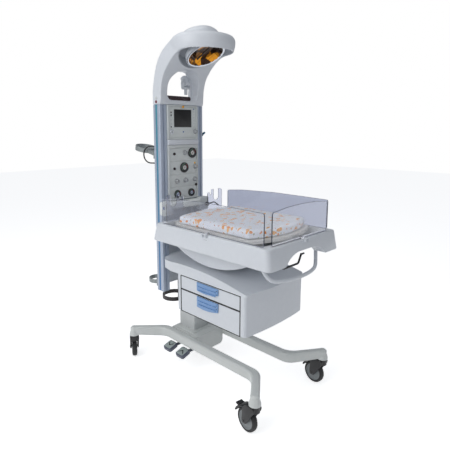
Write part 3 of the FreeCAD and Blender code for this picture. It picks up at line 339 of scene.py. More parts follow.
for node, pedal_y, up in (("pedal_down", 0.290, -1), ("pedal_up", 0.172, 1)):
    rest = shift(pedal_x, pedal_y, pedal_z) @ rotate(-18, "Y")
    half = 0.0345
    square = rect(-half, half, -half, half)
    boot = piece(node + "_boot", plate(square, 0.014, 0.026, rest @ shift(0, 0, -0.012), 0.0045),
                 slate_nylon, node + "_arm")
    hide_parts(node)
    arm = plate(rect(0.012, 0.098, -0.012, 0.012), 0.0, 0.008, shift(pedal_x, pedal_y, 0.110), 0.002)
    piece(node + "_arm", arm, slate_nylon, node + "_arm")
    inset = [(x * 0.84, y * 0.84) for x, y in square]
    pad = plate(inset, 0.010, 0.0030, rest @ shift(0, 0, 0.0125), 0.0012)
    piece(node + "_pad", pad, pad_green, node + "_arm")
    reach, drop, thick = 0.020, 0.020, 0.0090
    chevron = [(-up * drop / 2, -reach), (up * drop / 2, 0.0), (-up * drop / 2, reach),
               (-up * (drop / 2 + thick), reach), (up * (drop / 2 - thick), 0.0),
               (-up * (drop / 2 + thick), -reach)]
    mark = plate(chevron, 0.0, 0.0012, rest @ shift(0, 0, 0.0152), 0.0003)
    piece(node + "_chevron", mark, black_nylon, node + "_arm")


# Lift column. An anodised outer tube on the hub; the inner tube runs in it
# and carries the chassis.
column_coat = finish("anodised_column", "#d3d6d6", "#c9cccc", 0.36, 0.0014, 0.0001, metallic=0.15)
dress(column_coat, "column_outer")
dress(rail_alloy, "column_inner")


# Chassis cover. One moulded shell that falls toward the foot end and swells
# round the bed's pivot in the middle.
shell_white = finish("moulded_abs_white", "#e3e7ec", "#dde1e7", 0.34, 0.0010, 0.0001, coat=0.1)
dress(shell_white, "chassis")


# Cabinet and drawers. Moulded shells in the cover's white; both drawers run
# out to the near side on their slides.
dress(shell_white, "cabinet", "drawer_upper", "drawer_lower")


# Painted gap shade. Black frames set in the gap round both drawer fronts, with one
# bar between them, are painted shade for the dark gaps.
gap_shade_x, gap_shade_w, gap_shade_y0, gap_shade_y1 = -0.2466, 0.006, -0.3578, 0.0988
gap_shade_frames = []
for low, high in ((0.4412, 0.5745), (0.5745, 0.6552)):
    outer = rect(gap_shade_y0, gap_shade_y1, low, high)
    inner = rect(gap_shade_y0 + gap_shade_w, gap_shade_y1 - gap_shade_w, low + gap_shade_w * 0.5, high - gap_shade_w * 0.5)
    gap_shade_frames.append(carve(plate(outer, 0.004, 0.004, shift(gap_shade_x, 0, 0) @ side_view),
                        plate(inner, 0.003, 0.020, shift(gap_shade_x - 0.008, 0, 0) @ side_view)))
piece("drawer_gap_painted_shade", joined(*gap_shade_frames), tread_rubber, "carriage")


# Drawer pulls. Blue plates with a bowed lower edge; a hollow and a rib across
# the plate give the fingers their hold, and two screws hold it at the left.
blue_abs = finish("moulded_abs_blue", "#7fa6d6", "#769dcd", 0.30, 0.0010, 0.0001, coat=0.2)
pull_y0, pull_y1 = -0.205, -0.045
pull_face = -0.246
for node, body, top, depth in (("pull_upper", "drawer_upper_box", 0.6503, 0.052),
                               ("pull_lower", "drawer_lower_box", 0.5700, 0.064)):
    steps = 12
    low = [(pull_y0 + (pull_y1 - pull_y0) * i / steps,
            top - depth + 0.010 * (2 * i / steps - 1.3) ** 2) for i in range(steps + 1)]
    outline = [(y, z) for y, z in low] + [(pull_y1, top), (pull_y0, top)]
    base = plate(outline, 0.0, 0.009, shift(pull_face - 0.0090, 0, 0) @ side_view, 0.0025)
    made = piece(node + "_plate", base, blue_abs, body)
    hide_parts(node)
    for drop in (0.016, 0.036):
        rib = [(y, top - drop - 0.006 + 0.25 * (z - low[0][1])) for y, z in low[1:-1]]
        rib = rib + [(y, z + 0.0065) for y, z in rib[::-1]]
        bar = plate(rib, 0.0, 0.0062, shift(pull_face - 0.0145, 0, 0) @ side_view, 0.0024)
        piece(node + "_rib_%d" % round(drop * 1000), bar, blue_abs, body)
        screw = shift(pull_face - 0.0090, pull_y0 + 0.008, top - drop + 0.006) @ on_x
        dot = turned([(0, -0.0012), (0.0022, -0.0012), (0.0030, 0.0), (0.0030, 0.0006), (0, 0.0006)], screw, 24)
        piece(node + "_screw_%d" % round(drop * 1000), dot, black_nylon, body)


# Mast. Two anodised aluminium extrusions with a moulded white spine between
# them; a blue-green strip is pressed into the groove on each outer side.
dress(rail_alloy, "mast_rail_left", "mast_rail_right")
dress(shell_white, "mast_spine")
rail_out, rail_y = 0.172, 0.388
rail_low, rail_high = 0.460, 1.6097
strip = bare("strip_pvc_blue_green")
tree = strip.node_tree
place = add_node(tree, "TexCoord")
height = add_node(tree, "SeparateXYZ", None, {0: (place, "Object")})
rise = add_node(tree, "MapRange", {"From Min": rail_low, "From Max": rail_high}, {"Value": (height, "Z")})
tone = add_node(tree, "Mix", {"data_type": "RGBA", 6: linear("#4878b0"), 7: linear("#4f93a6")}, {0: (rise, 0)})
fine = add_node(tree, "TexNoise", {"Scale": 900.0}, {"Vector": (place, "Object")})
relief = add_node(tree, "Bump", {"Strength": 0.2, "Distance": 0.0002}, {"Height": (fine, 0)})
shader = add_node(tree, "BsdfPrincipled", {"Roughness": 0.35}, {"Base Color": (tone, 2), "Normal": (relief, 0)})
add_node(tree, "OutputMaterial", None, {"Surface": (shader, 0)})
strip_half, strip_depth = 0.0088, 0.0030
for name, side in (("left", -1), ("right", 1)):
    across = rect(rail_y - strip_half, rail_y + strip_half, rail_low + 0.001, rail_high - 0.001)
    inner = side * rail_out - (strip_depth if side > 0 else 0)
    bar = plate(across, 0.0, strip_depth, shift(inner, 0, 0) @ side_view, 0.0008)
    piece("rail_strip_" + name, bar, strip, "carriage")


# Display unit. A moulded case with a recessed keyboard panel, a dark glass
# over the screen, membrane keys, an alarm lens and a probe socket.
front_view = rotate(90, "X")


def facing(x, y, z):
    """Place on the mast's front, with local Z pointing to the foot end."""
    return shift(x, y, z) @ front_view


def bowed(half, low, high, bow, steps=12):
    """A rectangle whose top edge is bowed up, as (x, z) corners."""
    top = [(half - 2 * half * i / steps, high + bow * (1 - (2 * i / steps - 1) ** 2)) for i in range(steps + 1)]
    return [(-half, low), (half, low)] + top


unit_half = 0.1200
unit_low, unit_high = 1.4052, 1.6094
unit_back, unit_front, panel_face = 0.3840, 0.3450, 0.3530
shell_grey = finish("moulded_abs_grey", "#d8dcdb", "#d2d7d6", 0.40, 0.0009, 0.0002)
case_black = finish("gauge_case_black", "#2a2c2f", "#232528", 0.38, 0.0010, 0.0002)
panel_green = finish("moulded_panel_grey_green", "#e2e6e4", "#dce1df", 0.42, 0.0008, 0.0001)
screen_glass = finish("dark_screen_glass", "#050507", "#070709", 0.30, 0.0300, 0.00001)
print_grey = finish("printed_dark_grey", "#4a4f55", "#454a50", 0.45, 0.0008, 0.0001)
print_blue = finish("printed_blue", "#3f68a8", "#3a62a0", 0.40, 0.0008, 0.0001)
amber_lens = finish("amber_lens", "#f0a818", "#eba010", 0.22, 0.0010, 0.0001, coat=0.5)
case = plate(rect(-unit_half, unit_half, unit_low, unit_high), 0.006, unit_back - unit_front,
             facing(0, unit_back, 0), 0.0024)
pocket_half, pocket_low, pocket_high, pocket_bow = 0.1095, 1.4140, 1.5970, 0.006
pocket = plate(bowed(pocket_half, pocket_low, pocket_high, pocket_bow), 0.0, 0.03, facing(0, panel_face, 0))
case = piece("display_case", carve(case, pocket), shell_grey, "carriage")
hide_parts("display_unit")
fit = 0.0012
panel = plate(bowed(pocket_half - fit, pocket_low + fit, pocket_high - fit, pocket_bow), 0.0, 0.0022,
              facing(0, panel_face + 0.0005, 0), 0.0008)
piece("display_panel", panel, panel_green, "carriage")
print_face = panel_face - 0.0017
bezel = plate(rect(-0.0725, 0.0725, 1.4745, 1.5890), 0.004, 0.0014, facing(0, print_face, 0), 0.0006)
piece("screen_bezel", bezel, shell_grey, "carriage")
glass = plate(rect(-0.0690, 0.0690, 1.4790, 1.5850), 0.002, 0.0022, facing(0, print_face, 0), 0.0008)
piece("screen_glass", glass, screen_glass, "carriage")
key_line = [(0, -0.0002), (0.0055, -0.0002), (0.0055, 0.0007), (0.0046, 0.0012), (0, 0.0012)]
keys = [(-0.090, 1.566, 0.0050, print_grey), (-0.090, 1.549, 0.0052, print_grey),
        (-0.090, 1.521, 0.0058, shell_grey), (-0.090, 1.498, 0.0058, shell_grey),
        (-0.090, 1.481, 0.0042, print_grey), (0.091, 1.590, 0.0036, print_blue)]
keys += [(0.091, z, 0.0050, shell_grey) for z in (1.574, 1.556, 1.538, 1.520, 1.502, 1.484)]
keys.append((0.004, 1.451, 0.0046, print_blue))
for number, (x, z, reach, material) in enumerate(keys):
    key = turned([(r * reach / 0.0055, h) for r, h in key_line], facing(x, print_face, z), 28)
    piece("display_key_%d" % number, key, material, "carriage")
lens = turned([(0, -0.001), (0.0078, -0.001), (0.0078, 0.0012), (0.0060, 0.0024), (0, 0.0030)],
              facing(0, unit_front + 0.0002, 1.6010), 40)
piece("alarm_light", lens, amber_lens, "carriage")
socket_at = facing(-0.088, panel_face, 1.452)
collar = turned([(0.0070, -0.002), (0.0070, 0.0080), (0.0085, 0.0090), (0.0125, 0.0084), (0.0150, 0.0040),
                 (0.0155, -0.002)], socket_at, 48, ring=True)
piece("probe_socket", collar, shell_white, "carriage")


def rod(radius, start, end, place, steps):
    """A plain round bar between two heights."""
    return turned([(0, start), (radius, start), (radius, end), (0, end)], place, steps)


bottom = rod(0.0069, -0.0140, -0.0100, socket_at, 32)
piece("probe_socket_floor", bottom, case_black, "carriage")


# Gas panel. A moulded plate under a white brow, with a recessed face in
# four fields that carries the gauges, knobs and hose ports.
gas_low, gas_high = 1.0355, 1.3716
gas = plate(rect(-unit_half, unit_half, gas_low, gas_high), 0.002, unit_back - unit_front,
            facing(0, unit_back, 0), 0.0025)
gas_field_low, gas_field_high, gas_bow = 1.0470, 1.3480, 0.008
pocket = plate(bowed(pocket_half, gas_field_low, gas_field_high, gas_bow), 0.0, 0.03, facing(0, panel_face, 0))
gas = piece("gas_case", carve(gas, pocket), shell_grey, "carriage")
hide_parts("gas_panel")
field_edges = (gas_field_low + fit, 1.1120, 1.1900, 1.2740, gas_field_high - fit)
seam = 0.0008
for number, (low, high) in enumerate(zip(field_edges, field_edges[1:])):
    top = number == len(field_edges) - 2
    outline = bowed(pocket_half - fit, low + seam, high - seam, gas_bow if top else 0.0)
    field = plate(outline, 0.0, 0.0030, facing(0, panel_face + 0.0005, 0), 0.0010)
    piece("gas_field_%d" % number, field, panel_green, "carriage")
brow_line = [(0.3840, 1.3722), (0.3440, 1.3730), (0.3400, 1.3780), (0.3400, 1.3980), (0.3440, 1.4045),
             (0.3840, 1.4045)]
brow = plate(brow_line, 0.0, unit_half * 2, shift(-unit_half, 0, 0) @ side_view, 0.002)
piece("gas_brow", brow, shell_white, "carriage")
gas_face = panel_face - 0.0025
port_red = finish("port_red", "#5a1a1c", "#4c1517", 0.35, 0.0008, 0.0001)
for number, (x, z) in enumerate(((-0.072, 1.318), (-0.072, 1.228), (0.104, 1.117))):
    ring = turned([(0.0040, -0.0010), (0.0040, 0.0050), (0.0052, 0.0062), (0.0078, 0.0058), (0.0092, -0.0010)],
                  facing(x, gas_face, z), 32, ring=True)
    piece("gas_port_%d" % number, ring, case_black, "carriage")
    plug = turned([(0, -0.0010), (0.0040, -0.0010), (0.0040, 0.0034), (0.0025, 0.0046), (0, 0.0046)],
                  facing(x, gas_face, z), 24)
    piece("gas_port_plug_%d" % number, plug, port_red, "carriage")


# Knobs. Grey moulded caps with eight finger flutes, a bright rim and a pointer
# line, pressed on shafts that turn in the panels.
knob_grey = finish("moulded_knob_grey", "#b3b6b8", "#a9acaf", 0.33, 0.0008, 0.0001, metallic=0.25)
pointer_yellow = finish("printed_yellow", "#f2b51c", "#eaac14", 0.35, 0.0008, 0.0001)
knobs = {"display_knob": (0.098, 1.453, 0.3513, 0.0125), "knob_pressure": (0.011, 1.324, gas_face, 0.0135),
         "knob_oxygen": (0.096, 1.234, gas_face, 0.0145), "knob_suction": (-0.057, 1.151, gas_face, 0.0135),
         "knob_flow": (0.014, 1.152, gas_face, 0.0135), "knob_blender": (0.092, 1.154, gas_face, 0.0135)}
for name, (x, z, y, reach) in knobs.items():
    line = [(0, -0.001), (reach, -0.001), (reach + 0.0020, 0.0005), (reach + 0.0020, 0.0040), (reach, 0.0058),
            (reach * 0.86, 0.0070), (reach * 0.80, 0.0190), (reach * 0.68, 0.0215), (0, 0.0215)]
    cap = turned(line, facing(x, y, z), 64)
    centre = Vector((x, y, z))
    for vert in cap.verts:
        out = vert.co - centre
        spread = Vector((out.x, 0, out.z))
        if -out.y > 0.0065 and spread.length > reach * 0.5:
            flute = 1 + 0.055 * math.cos(8 * math.atan2(out.z, out.x))
            vert.co = centre + Vector((out.x * flute, out.y, out.z * flute))
    cap = piece(name + "_cap", cap, knob_grey, name + "_cap")
    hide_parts(name)
    pointer = plate(rect(-0.0009, 0.0009, reach * 0.15, reach * 0.62), 0.0, 0.0006, facing(x, y - 0.0213, z))
    piece(name + "_pointer", pointer, pointer_yellow if name == "knob_oxygen" else print_grey, name + "_cap")
dot = turned([(0, -0.0005), (0.0062, -0.0005), (0.0062, 0.0014), (0.0045, 0.0022), (0, 0.0022)],
             facing(0.096, gas_face, 1.256), 28)
piece("oxygen_mark", dot, pointer_yellow, "carriage")


# Gauges. Black cases with a raised bezel, a printed dial with coloured arcs and
# tick marks, and a needle on its hub.
dial_white = finish("dial_card_white", "#e2e0dc", "#dcdad6", 0.50, 0.0008, 0.0001)
dial_blue = finish("dial_card_blue_white", "#cfdaf0", "#c6d2ea", 0.50, 0.0008, 0.0001)
arc_green = finish("printed_green", "#7fae8c", "#79a886", 0.50, 0.0008, 0.0001)
arc_red = finish("printed_red", "#b03a34", "#a8342f", 0.50, 0.0008, 0.0001)
gauges = {"gauge_airway": (0.072, 1.321, 0.032, dial_white, 40),
          "gauge_suction": (0.005, 1.232, 0.032, dial_white, 5),
          "gauge_oxygen": (-0.052, 1.070, 0.025, dial_blue, -130),
          "gauge_air": (0.062, 1.070, 0.025, dial_blue, -120)}
case_depth = 0.0095
for name, (x, z, reach, card, swing) in gauges.items():
    line = [(0, 0.0), (reach, 0.0), (reach, case_depth - 0.0030), (reach - 0.0020, case_depth),
            (reach - 0.0038, case_depth), (reach - 0.0042, case_depth - 0.0022), (0, case_depth - 0.0026)]
    shell = piece(name + "_case", turned(line, facing(x, gas_face, z), 72), case_black, "carriage")
    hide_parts(name)
    level = gas_face - case_depth + 0.0028
    dial = rod(reach - 0.0045, -0.0004, 0.0004, facing(x, level, z), 64)
    piece(name + "_dial", dial, card, "carriage")
    inner, outer = reach * 0.68, reach * 0.75
    for part, material, start, sweep in (("low", arc_green, 225, 150), ("high", arc_red, 60, 70)):
        steps = 18
        turns = [math.radians(start - sweep * i / steps) for i in range(steps + 1)]
        outline = [(inner * math.cos(a), inner * math.sin(a)) for a in turns]
        outline += [(outer * math.cos(a), outer * math.sin(a)) for a in turns[::-1]]
        band = plate(outline, 0.0, 0.0003, facing(x, level - 0.0004, z))
        piece(name + "_arc_" + part, band, material, "carriage")
    ticks = []
    for number in range(11):
        ticks.append(plate(rect(-0.0004, 0.0004, inner * 0.82, inner * 0.98), 0.0, 0.0003,
                           facing(x, level - 0.0004, z) @ rotate(135 - 27 * number, "Z")))
    piece(name + "_ticks", joined(*ticks), print_grey, "carriage")
    spin = facing(x, level - 0.0009, z) @ rotate(-swing, "Z")
    needle = plate([(-0.0012, -reach * 0.2), (0.0012, -reach * 0.2), (0.0005, reach * 0.62),
                    (-0.0005, reach * 0.62)], 0.0, 0.0005, spin)
    piece(name + "_needle", needle, port_red, "carriage")
    boss = turned([(0, 0), (0.0024, 0), (0.0020, 0.0016), (0, 0.0018)], facing(x, level - 0.0008, z), 24)
    piece(name + "_boss", boss, case_black, "carriage")


# Crossbar, its levers and the bottle rings. A grey moulded bar with a clamp on
# each rail; the rings behind the mast are bands with a cast foot.
teal_abs = finish("moulded_abs_teal", "#2f6f8f", "#296582", 0.35, 0.0010, 0.0001)
bottle_alloy = finish("coated_aluminium_band", "#9ba19f", "#90969a", 0.40, 0.0012, 0.0002, metallic=0.3)
# The crossbar's grey is painted light: set brighter than the other grey mouldings to lift the shade it sits in.
clamp_grey_painted_light = finish("moulded_clamp_grey_painted_light", "#eff3f1", "#e8ecea", 0.38, 0.0010, 0.0002)
# The ring foot's dark colour is partly its own dark finish and partly painted shade for the shade it sits in under
# the mast.
band_dark_and_shade = finish("dark_band_and_painted_shade", "#3a3536", "#332f31", 0.45, 0.0012, 0.0002)
dress(clamp_grey_painted_light, "crossbar")
dress(black_nylon, "crossbar_lever", "tilt_lever")
dress(teal_abs, "rail_toggle")
dress(bottle_alloy, "ring_upper", "ring_lower")
dress(band_dark_and_shade, "ring_foot")
bar_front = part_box("crossbar")[0].y - datum.y
badge = [(0.0048 * math.cos(math.tau * i / 28), 0.0115 * math.sin(math.tau * i / 28)) for i in range(28)]
piece("clamp_badge", plate(badge, 0.0, 0.0012, facing(-0.180, bar_front + 0.0041, 1.000), 0.0004), print_blue,
      "carriage")


# Hose. A loop of black rubber tube beside the upper ring, both ends plugged
# into the back of the left rail.
hose_rubber = finish("hose_rubber", "#1b1b1e", "#242427", 0.50, 0.0010, 0.0002)
hose_r, rail_back, loop_r = 0.004, 0.421, 0.051
loop_y, loop_z = rail_back + 0.042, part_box("hose_loop")[0].z + 0.055
route = [(-0.150, rail_back + 0.0003, loop_z + loop_r), (-0.150, rail_back + 0.025, loop_z + loop_r)]
for turn, x in ((72, -0.170), (36, -0.178), (0, -0.180), (-36, -0.178), (-72, -0.170)):
    reach = loop_r / math.cos(math.radians(18))
    a = math.radians(turn)
    route.append((x, loop_y + reach * math.cos(a), loop_z + reach * math.sin(a)))
route += [(-0.150, rail_back + 0.025, loop_z - loop_r), (-0.150, rail_back + 0.0003, loop_z - loop_r)]


def bent_tube(name, route, radius, material, body, round_steps, run_steps):
    """A tube whose centreline follows the route's points on one smooth curve."""
    curve = bpy.data.curves.new(name, "CURVE")
    curve.dimensions = "3D"
    curve.bevel_depth = radius
    curve.bevel_resolution = round_steps
    curve.resolution_u = run_steps
    curve.use_fill_caps = True
    spline = curve.splines.new("NURBS")
    spline.points.add(len(route) - 1)
    for point, at in zip(spline.points, route):
        point.co = [*(datum + Vector(at)), 1]
    spline.order_u = 3
    spline.use_endpoint_u = True
    curve.materials.append(material)
    made = linked(name, curve)
    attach(made, body)
    return made


hose = bent_tube("hose", route, hose_r, hose_rubber, "carriage", 5, 16)
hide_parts("hose_loop")


# Belly pan. A shallow shell moulded like the chassis cover and screwed to the
# underside of the tray.
dress(shell_white, "belly_pan")


# Bed tray. A moulded tub whose walls lean out to the bottom, with grooves for
# the clear panels in its rim, an arch in the foot wall and one lug per hinge.
tray_x, tray_foot, tray_head = 0.291, -0.555, 0.262
tray_low, tray_rim, tray_floor = 0.835, 0.937, 0.876
tub = plate(rect(-tray_x, tray_x, tray_foot, tray_head), 0.026, tray_rim - tray_low, shift(0, 0, tray_low), 0.007)
for vert in tub.verts:
    lean = (tray_rim - vert.co.z) / (tray_rim - tray_low)
    vert.co.x *= 1 + 0.026 * lean
    vert.co.y += lean * (-0.018 if vert.co.y < -0.2 else 0.026)
wall, foot_wall, head_wall, floor_t = 0.034, 0.052, 0.040, 0.005
groove_deep, head_groove_deep = 0.004, 0.016


def pocket_in(half, foot, head, low, high, radius):
    """A rounded block between two heights."""
    return plate(rect(-half, half, foot, head), radius, high - low, shift(0, 0, low))


tub = carve(tub, pocket_in(tray_x - wall, tray_foot + foot_wall, tray_head - head_wall, tray_floor, 1.0, 0.030))
tub = carve(tub, pocket_in(tray_x - 0.012, tray_foot + 0.060, tray_head - 0.010, 0.8, tray_floor - floor_t, 0.020))
arch_line = [(-0.190, tray_low - 0.010), (0.190, tray_low - 0.010), (0.112, tray_low + 0.054),
             (-0.112, tray_low + 0.054)]
arch_at = shift(0, tray_foot + 0.070, 0) @ rotate(90, "X")
bow = plate(arch_line, 0.0, 0.2, arch_at)
upper = [e for e in bow.edges
         if abs(e.verts[0].co.y - e.verts[1].co.y) > 0.1 and min(v.co.z for v in e.verts) > tray_low]
round_off(bow, upper, 0.055, 12, "EDGES")
tub = carve(tub, bow)
for groove, deep in ((rect(-0.271, -0.265, -0.516, 0.223), groove_deep),
                     (rect(0.265, 0.271, -0.516, 0.223), groove_deep),
                     (rect(-0.233, 0.233, -0.533, -0.527), groove_deep),
                     (rect(-0.227, 0.227, 0.2353, 0.2407), head_groove_deep)):
    tub = carve(tub, plate(groove, 0.0, 0.030, shift(0, 0, tray_rim - deep)))
tray = piece("bed_tub", tub, shell_white, "bed")
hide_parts("bed_tray")
lug_line = [(-0.004, -0.012), (0.017, -0.010), (0.017, 0.012), (0.004, 0.012), (0.004, -0.001), (-0.004, -0.001)]
for name, quarter, far, along in (("left", 180, tray_x, 0.155), ("right", 0, tray_x, -0.155),
                                  ("foot", -90, -tray_foot, 0.0)):
    place = rotate(quarter, "Z") @ shift(far, along, tray_rim) @ rotate(90, "X")
    lugs = [plate(lug_line, 0.002, 0.006, place @ shift(0, 0, z), 0.0012) for z in (-0.016, 0.010)]
    pin = rod(0.0030, -0.017, 0.017, place @ shift(0.011, 0.007, 0), 24)
    piece("hinge_lugs_" + name, joined(*lugs, pin), shell_white, "bed")
latch = plate(rect(-0.004, 0.004, -0.013, 0.013), 0.002, 0.002, shift(-tray_x - 0.0018, -0.155, 0.9100) @ on_x,
              0.0006)
piece("latch_slot", latch, case_black, "bed")


# Push handle. One steel tube bent to a shallow bow and coated white; its ends
# are set in the underside of the tray by the foot wall.
tube_r = 0.0100
bend = [(-0.236, -0.470, 0.846), (-0.226, -0.478, 0.812), (-0.206, -0.492, 0.772), (-0.185, -0.505, 0.755),
        (-0.150, -0.522, 0.750), (-0.080, -0.543, 0.750), (0.0, -0.550, 0.750)]
bend += [(-x, y, z) for x, y, z in bend[-2::-1]]
grip = bent_tube("handle_tube", bend, tube_r, shell_white, "bed", 6, 10)
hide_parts("push_handle")


# Mattress platform. A flat cream moulding that lies in the tray and carries
# the mattress.
cream_shell = finish("moulded_abs_cream", "#dfdedb", "#d8d7d4", 0.42, 0.0010, 0.0002)
dress(cream_shell, "mattress_platform")


# Mattress. A foam pad with a bowed foot end in a fitted cotton sheet, printed
# with small leaves and dots.
sheet_cotton = bare("printed_cotton")
tree = sheet_cotton.node_tree
place = add_node(tree, "TexCoord")
drift = add_node(tree, "TexNoise", {"Scale": 26.0, "Detail": 1.0}, {"Vector": (place, "Object")})
bent = add_node(tree, "VectorMath", {"operation": "MULTIPLY_ADD", 1: (0.036, 0.036, 0.010)},
                {0: (drift, "Color"), 2: (place, "Object")})
colour = None
for number, (stretch, spin, reach, first, second) in enumerate((
        ((17.0, 38.0, 26.0), 0.6, 0.29, "#e79a3e", "#efb765"),
        ((34.0, 16.0, 30.0), 0.2, 0.24, "#eda253", "#e58c35"),
        ((46.0, 46.0, 42.0), 0.9, 0.17, "#e2808f", "#8fb77c"),
        ((38.0, 38.0, 38.0), 1.4, 0.14, "#d8b94e", "#dd8a98"))):
    turned_to = add_node(tree, "Mapping", {"Rotation": (0, 0, spin), "Scale": stretch}, {"Vector": (bent, 0)})
    cells = add_node(tree, "TexVoronoi", {"Scale": 1.0, "Randomness": 0.85}, {"Vector": (turned_to, 0)})
    edge = add_node(tree, "MapRange", {"From Min": reach + 0.03, "From Max": reach}, {"Value": (cells, "Distance")})
    split = add_node(tree, "SeparateColor", None, {0: (cells, "Color")})
    kept = add_node(tree, "Math", {"operation": "GREATER_THAN", 1: 0.12}, {0: (split, 1)})
    mask = add_node(tree, "Math", {"operation": "MULTIPLY"}, {0: (edge, 0), 1: (kept, 0)})
    ink = add_node(tree, "Mix", {"data_type": "RGBA", 6: linear(first), 7: linear(second)}, {0: (split, 0)})
    last = {} if colour is None else {6: (colour, 2)}
    colour = add_node(tree, "Mix", {"data_type": "RGBA", 6: linear("#e8ebf3")}, {0: (mask, 0), 7: (ink, 2), **last})
weave, cross = [add_node(tree, "TexWave", {"Scale": 420.0, "Distortion": 1.5, "bands_direction": axis},
                         {"Vector": (place, "Object")}) for axis in "XY"]
woven = add_node(tree, "Math", {"operation": "ADD"}, {0: (weave, "Fac"), 1: (cross, "Fac")})
relief = add_node(tree, "Bump", {"Strength": 0.35, "Distance": 0.0003}, {"Height": (woven, 0)})
creases = add_node(tree, "TexNoise", {"Scale": 9.0, "Detail": 2.0}, {"Vector": (place, "Object")})
relief = add_node(tree, "Bump", {"Strength": 0.35, "Distance": 0.004},
                  {"Height": (creases, 0), "Normal": (relief, 0)})
shader = add_node(tree, "BsdfPrincipled", {"Roughness": 0.85, "Sheen Weight": 0.25},
                  {"Base Color": (colour, 2), "Normal": (relief, 0)})
add_node(tree, "OutputMaterial", None, {"Surface": (shader, 0)})


def moulded(bm, voxel, passes):
    """Melts closed solids that overlap into one shell with soft blends."""
    obj = linked("work", meshed("work", bm))
    melt = obj.modifiers.new("melt", "REMESH")
    melt.mode = "VOXEL"
    melt.voxel_size = voxel
    ease = obj.modifiers.new("ease", "SMOOTH")
    ease.factor = 0.5
    ease.iterations = passes
    return settled(obj)


pad_half, pad_foot, pad_head, pad_foot_bow, pad_head_bow = 0.238, -0.398, 0.120, 0.062, 0.052
pad_low, pad_high, pad_cap = 0.9475, 0.9870, 0.007
steps = 16
outline = []
for side, end, swell in ((1, pad_head, pad_head_bow), (-1, pad_foot, -pad_foot_bow)):
    outline += [(side * pad_half * (1 - 2 * i / steps), end + swell * (1 - (2 * i / steps - 1) ** 2))
                for i in range(steps + 1)]
pad = plate(outline, 0.0, pad_high - pad_low, shift(0, 0, pad_low))
pad = moulded(pad, 0.0055, 5)
pad = piece("mattress_pad", pad, sheet_cotton, "bed", 80)
bpy.context.view_layer.objects.active = pad
before = [v.co.copy() for v in pad.data.vertices]
puff = pad.modifiers.new("puff", "CLOTH")
puff.settings.use_pressure = True
puff.settings.uniform_pressure_force = 4.0
puff.settings.effector_weights.gravity = 0.0
for step in range(1, 21):
    bpy.context.scene.frame_set(step)
after = bmesh.new()
after.from_object(pad, bpy.context.evaluated_depsgraph_get())
pad.modifiers.remove(puff)
for vert, start in zip(after.verts, before):
    move = vert.co - start
    if move.length > pad_cap:
        move *= pad_cap / move.length
    if start.z < datum.z + pad_low + 0.004:
        move.z = max(move.z, 0)
    vert.co = start + move
for face in after.faces:
    face.smooth = True
after.to_mesh(pad.data)
after.free()
bpy.context.scene.frame_set(1)
ease = pad.modifiers.new("ease", "SUBSURF")
ease.levels = ease.render_levels = 1
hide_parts("mattress")


# Head arch and hood. One thick moulded shell that carries the mast's width
# forward into a round hood, with a recess for the heater in its underside and
# an arched window below. Its soft edges come from melting plain solids.
arch_half = 0.172
hood_y = 0.170
back_line = [(0.424, 1.610), (0.423, 1.655), (0.420, 1.695), (0.409, 1.752), (0.388, 1.817), (0.356, 1.874),
             (0.310, 1.917), (0.247, 1.953), (0.195, 1.972), (0.150, 1.982)]
under_line = [(0.352, 1.610), (0.346, 1.640), (0.341, 1.700), (0.325, 1.756), (0.297, 1.798), (0.260, 1.836),
              (0.222, 1.865), (0.180, 1.886), (0.150, 1.893)]
hood_line = [(0, 1.893), (0.176, 1.893), (0.185, 1.925), (0.187, 1.950), (0.183, 1.964), (0.174, 1.975),
             (0.160, 1.981), (0, 1.984)]
crown_line = [(0, -0.030), (0.112, -0.030), (0.117, 0.0), (0.112, 0.020), (0.092, 0.040), (0.058, 0.053),
              (0, 0.060)]


def through(points, steps):
    """A smooth line through the points."""
    ends = [2 * Vector(points[0]) - Vector(points[1])] + [Vector(p) for p in points]
    ends.append(2 * ends[-1] - ends[-2])
    line = []
    for a, b, c, d in zip(ends, ends[1:], ends[2:], ends[3:]):
        for i in range(steps):
            t = i / steps
            line.append(0.5 * (2 * b + (c - a) * t + (2 * a - 5 * b + 4 * c - d) * t ** 2
                               + (3 * b - a - 3 * c + d) * t ** 3))
    return line + [ends[-2]]


lying = shift(-arch_half, 0, 0) @ side_view
back, under = through(back_line, 8), through(under_line, 8)
slab = plate([tuple(p) for p in back + under[::-1]], 0.0, arch_half * 2, lying)
outside, wide = [tuple(p) for p in back] + [(0.150, 2.100), (0.500, 2.100), (0.500, 1.610)], 0.6
spare = plate(outside, 0.0, wide, shift(-wide / 2, 0, 0) @ side_view)
hood = turned(hood_line, shift(0, hood_y, 0), 96)
crown = turned(crown_line, shift(0, 0.195, 1.972) @ rotate(-13, "X"), 96)
shell = moulded(joined(slab, carve(hood, spare), crown), 0.0040, 2)
tilt = -27
mouth = shift(0, hood_y - 0.012, 1.946) @ rotate(tilt, "X")
pit = rod(0.162, 0.060, -0.200, mouth, 96)
room = rod(0.172, 1.70, 1.956, shift(0, hood_y, 0), 96)
skin = plate(outside, 0.0, wide, shift(-wide / 2, -0.016, -0.020) @ side_view)
shell = carve(shell, carve(carve(pit, room, "INTERSECT"), skin))
sill, window_half = 1.638, 0.120
window_line = [(-window_half, sill), (window_half, sill), (window_half, sill + 0.112), (0.062, sill + 0.172),
               (-0.062, sill + 0.172), (-window_half, sill + 0.112)]
front = shift(0, 0.500, 0) @ rotate(90, "X")
shell = carve(shell, plate(window_line, 0.034, 0.195, front @ shift(0, 0, 0.105)))
gap_line = [(x * 0.87, sill + 0.004 + (z - sill) * 0.88) for x, z in window_line]
shell = carve(shell, plate(gap_line, 0.028, 0.300, front))
arch = piece("head_arch_shell", moulded(shell, 0.0032, 7), shell_white, "carriage", 60)
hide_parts("head_arch")


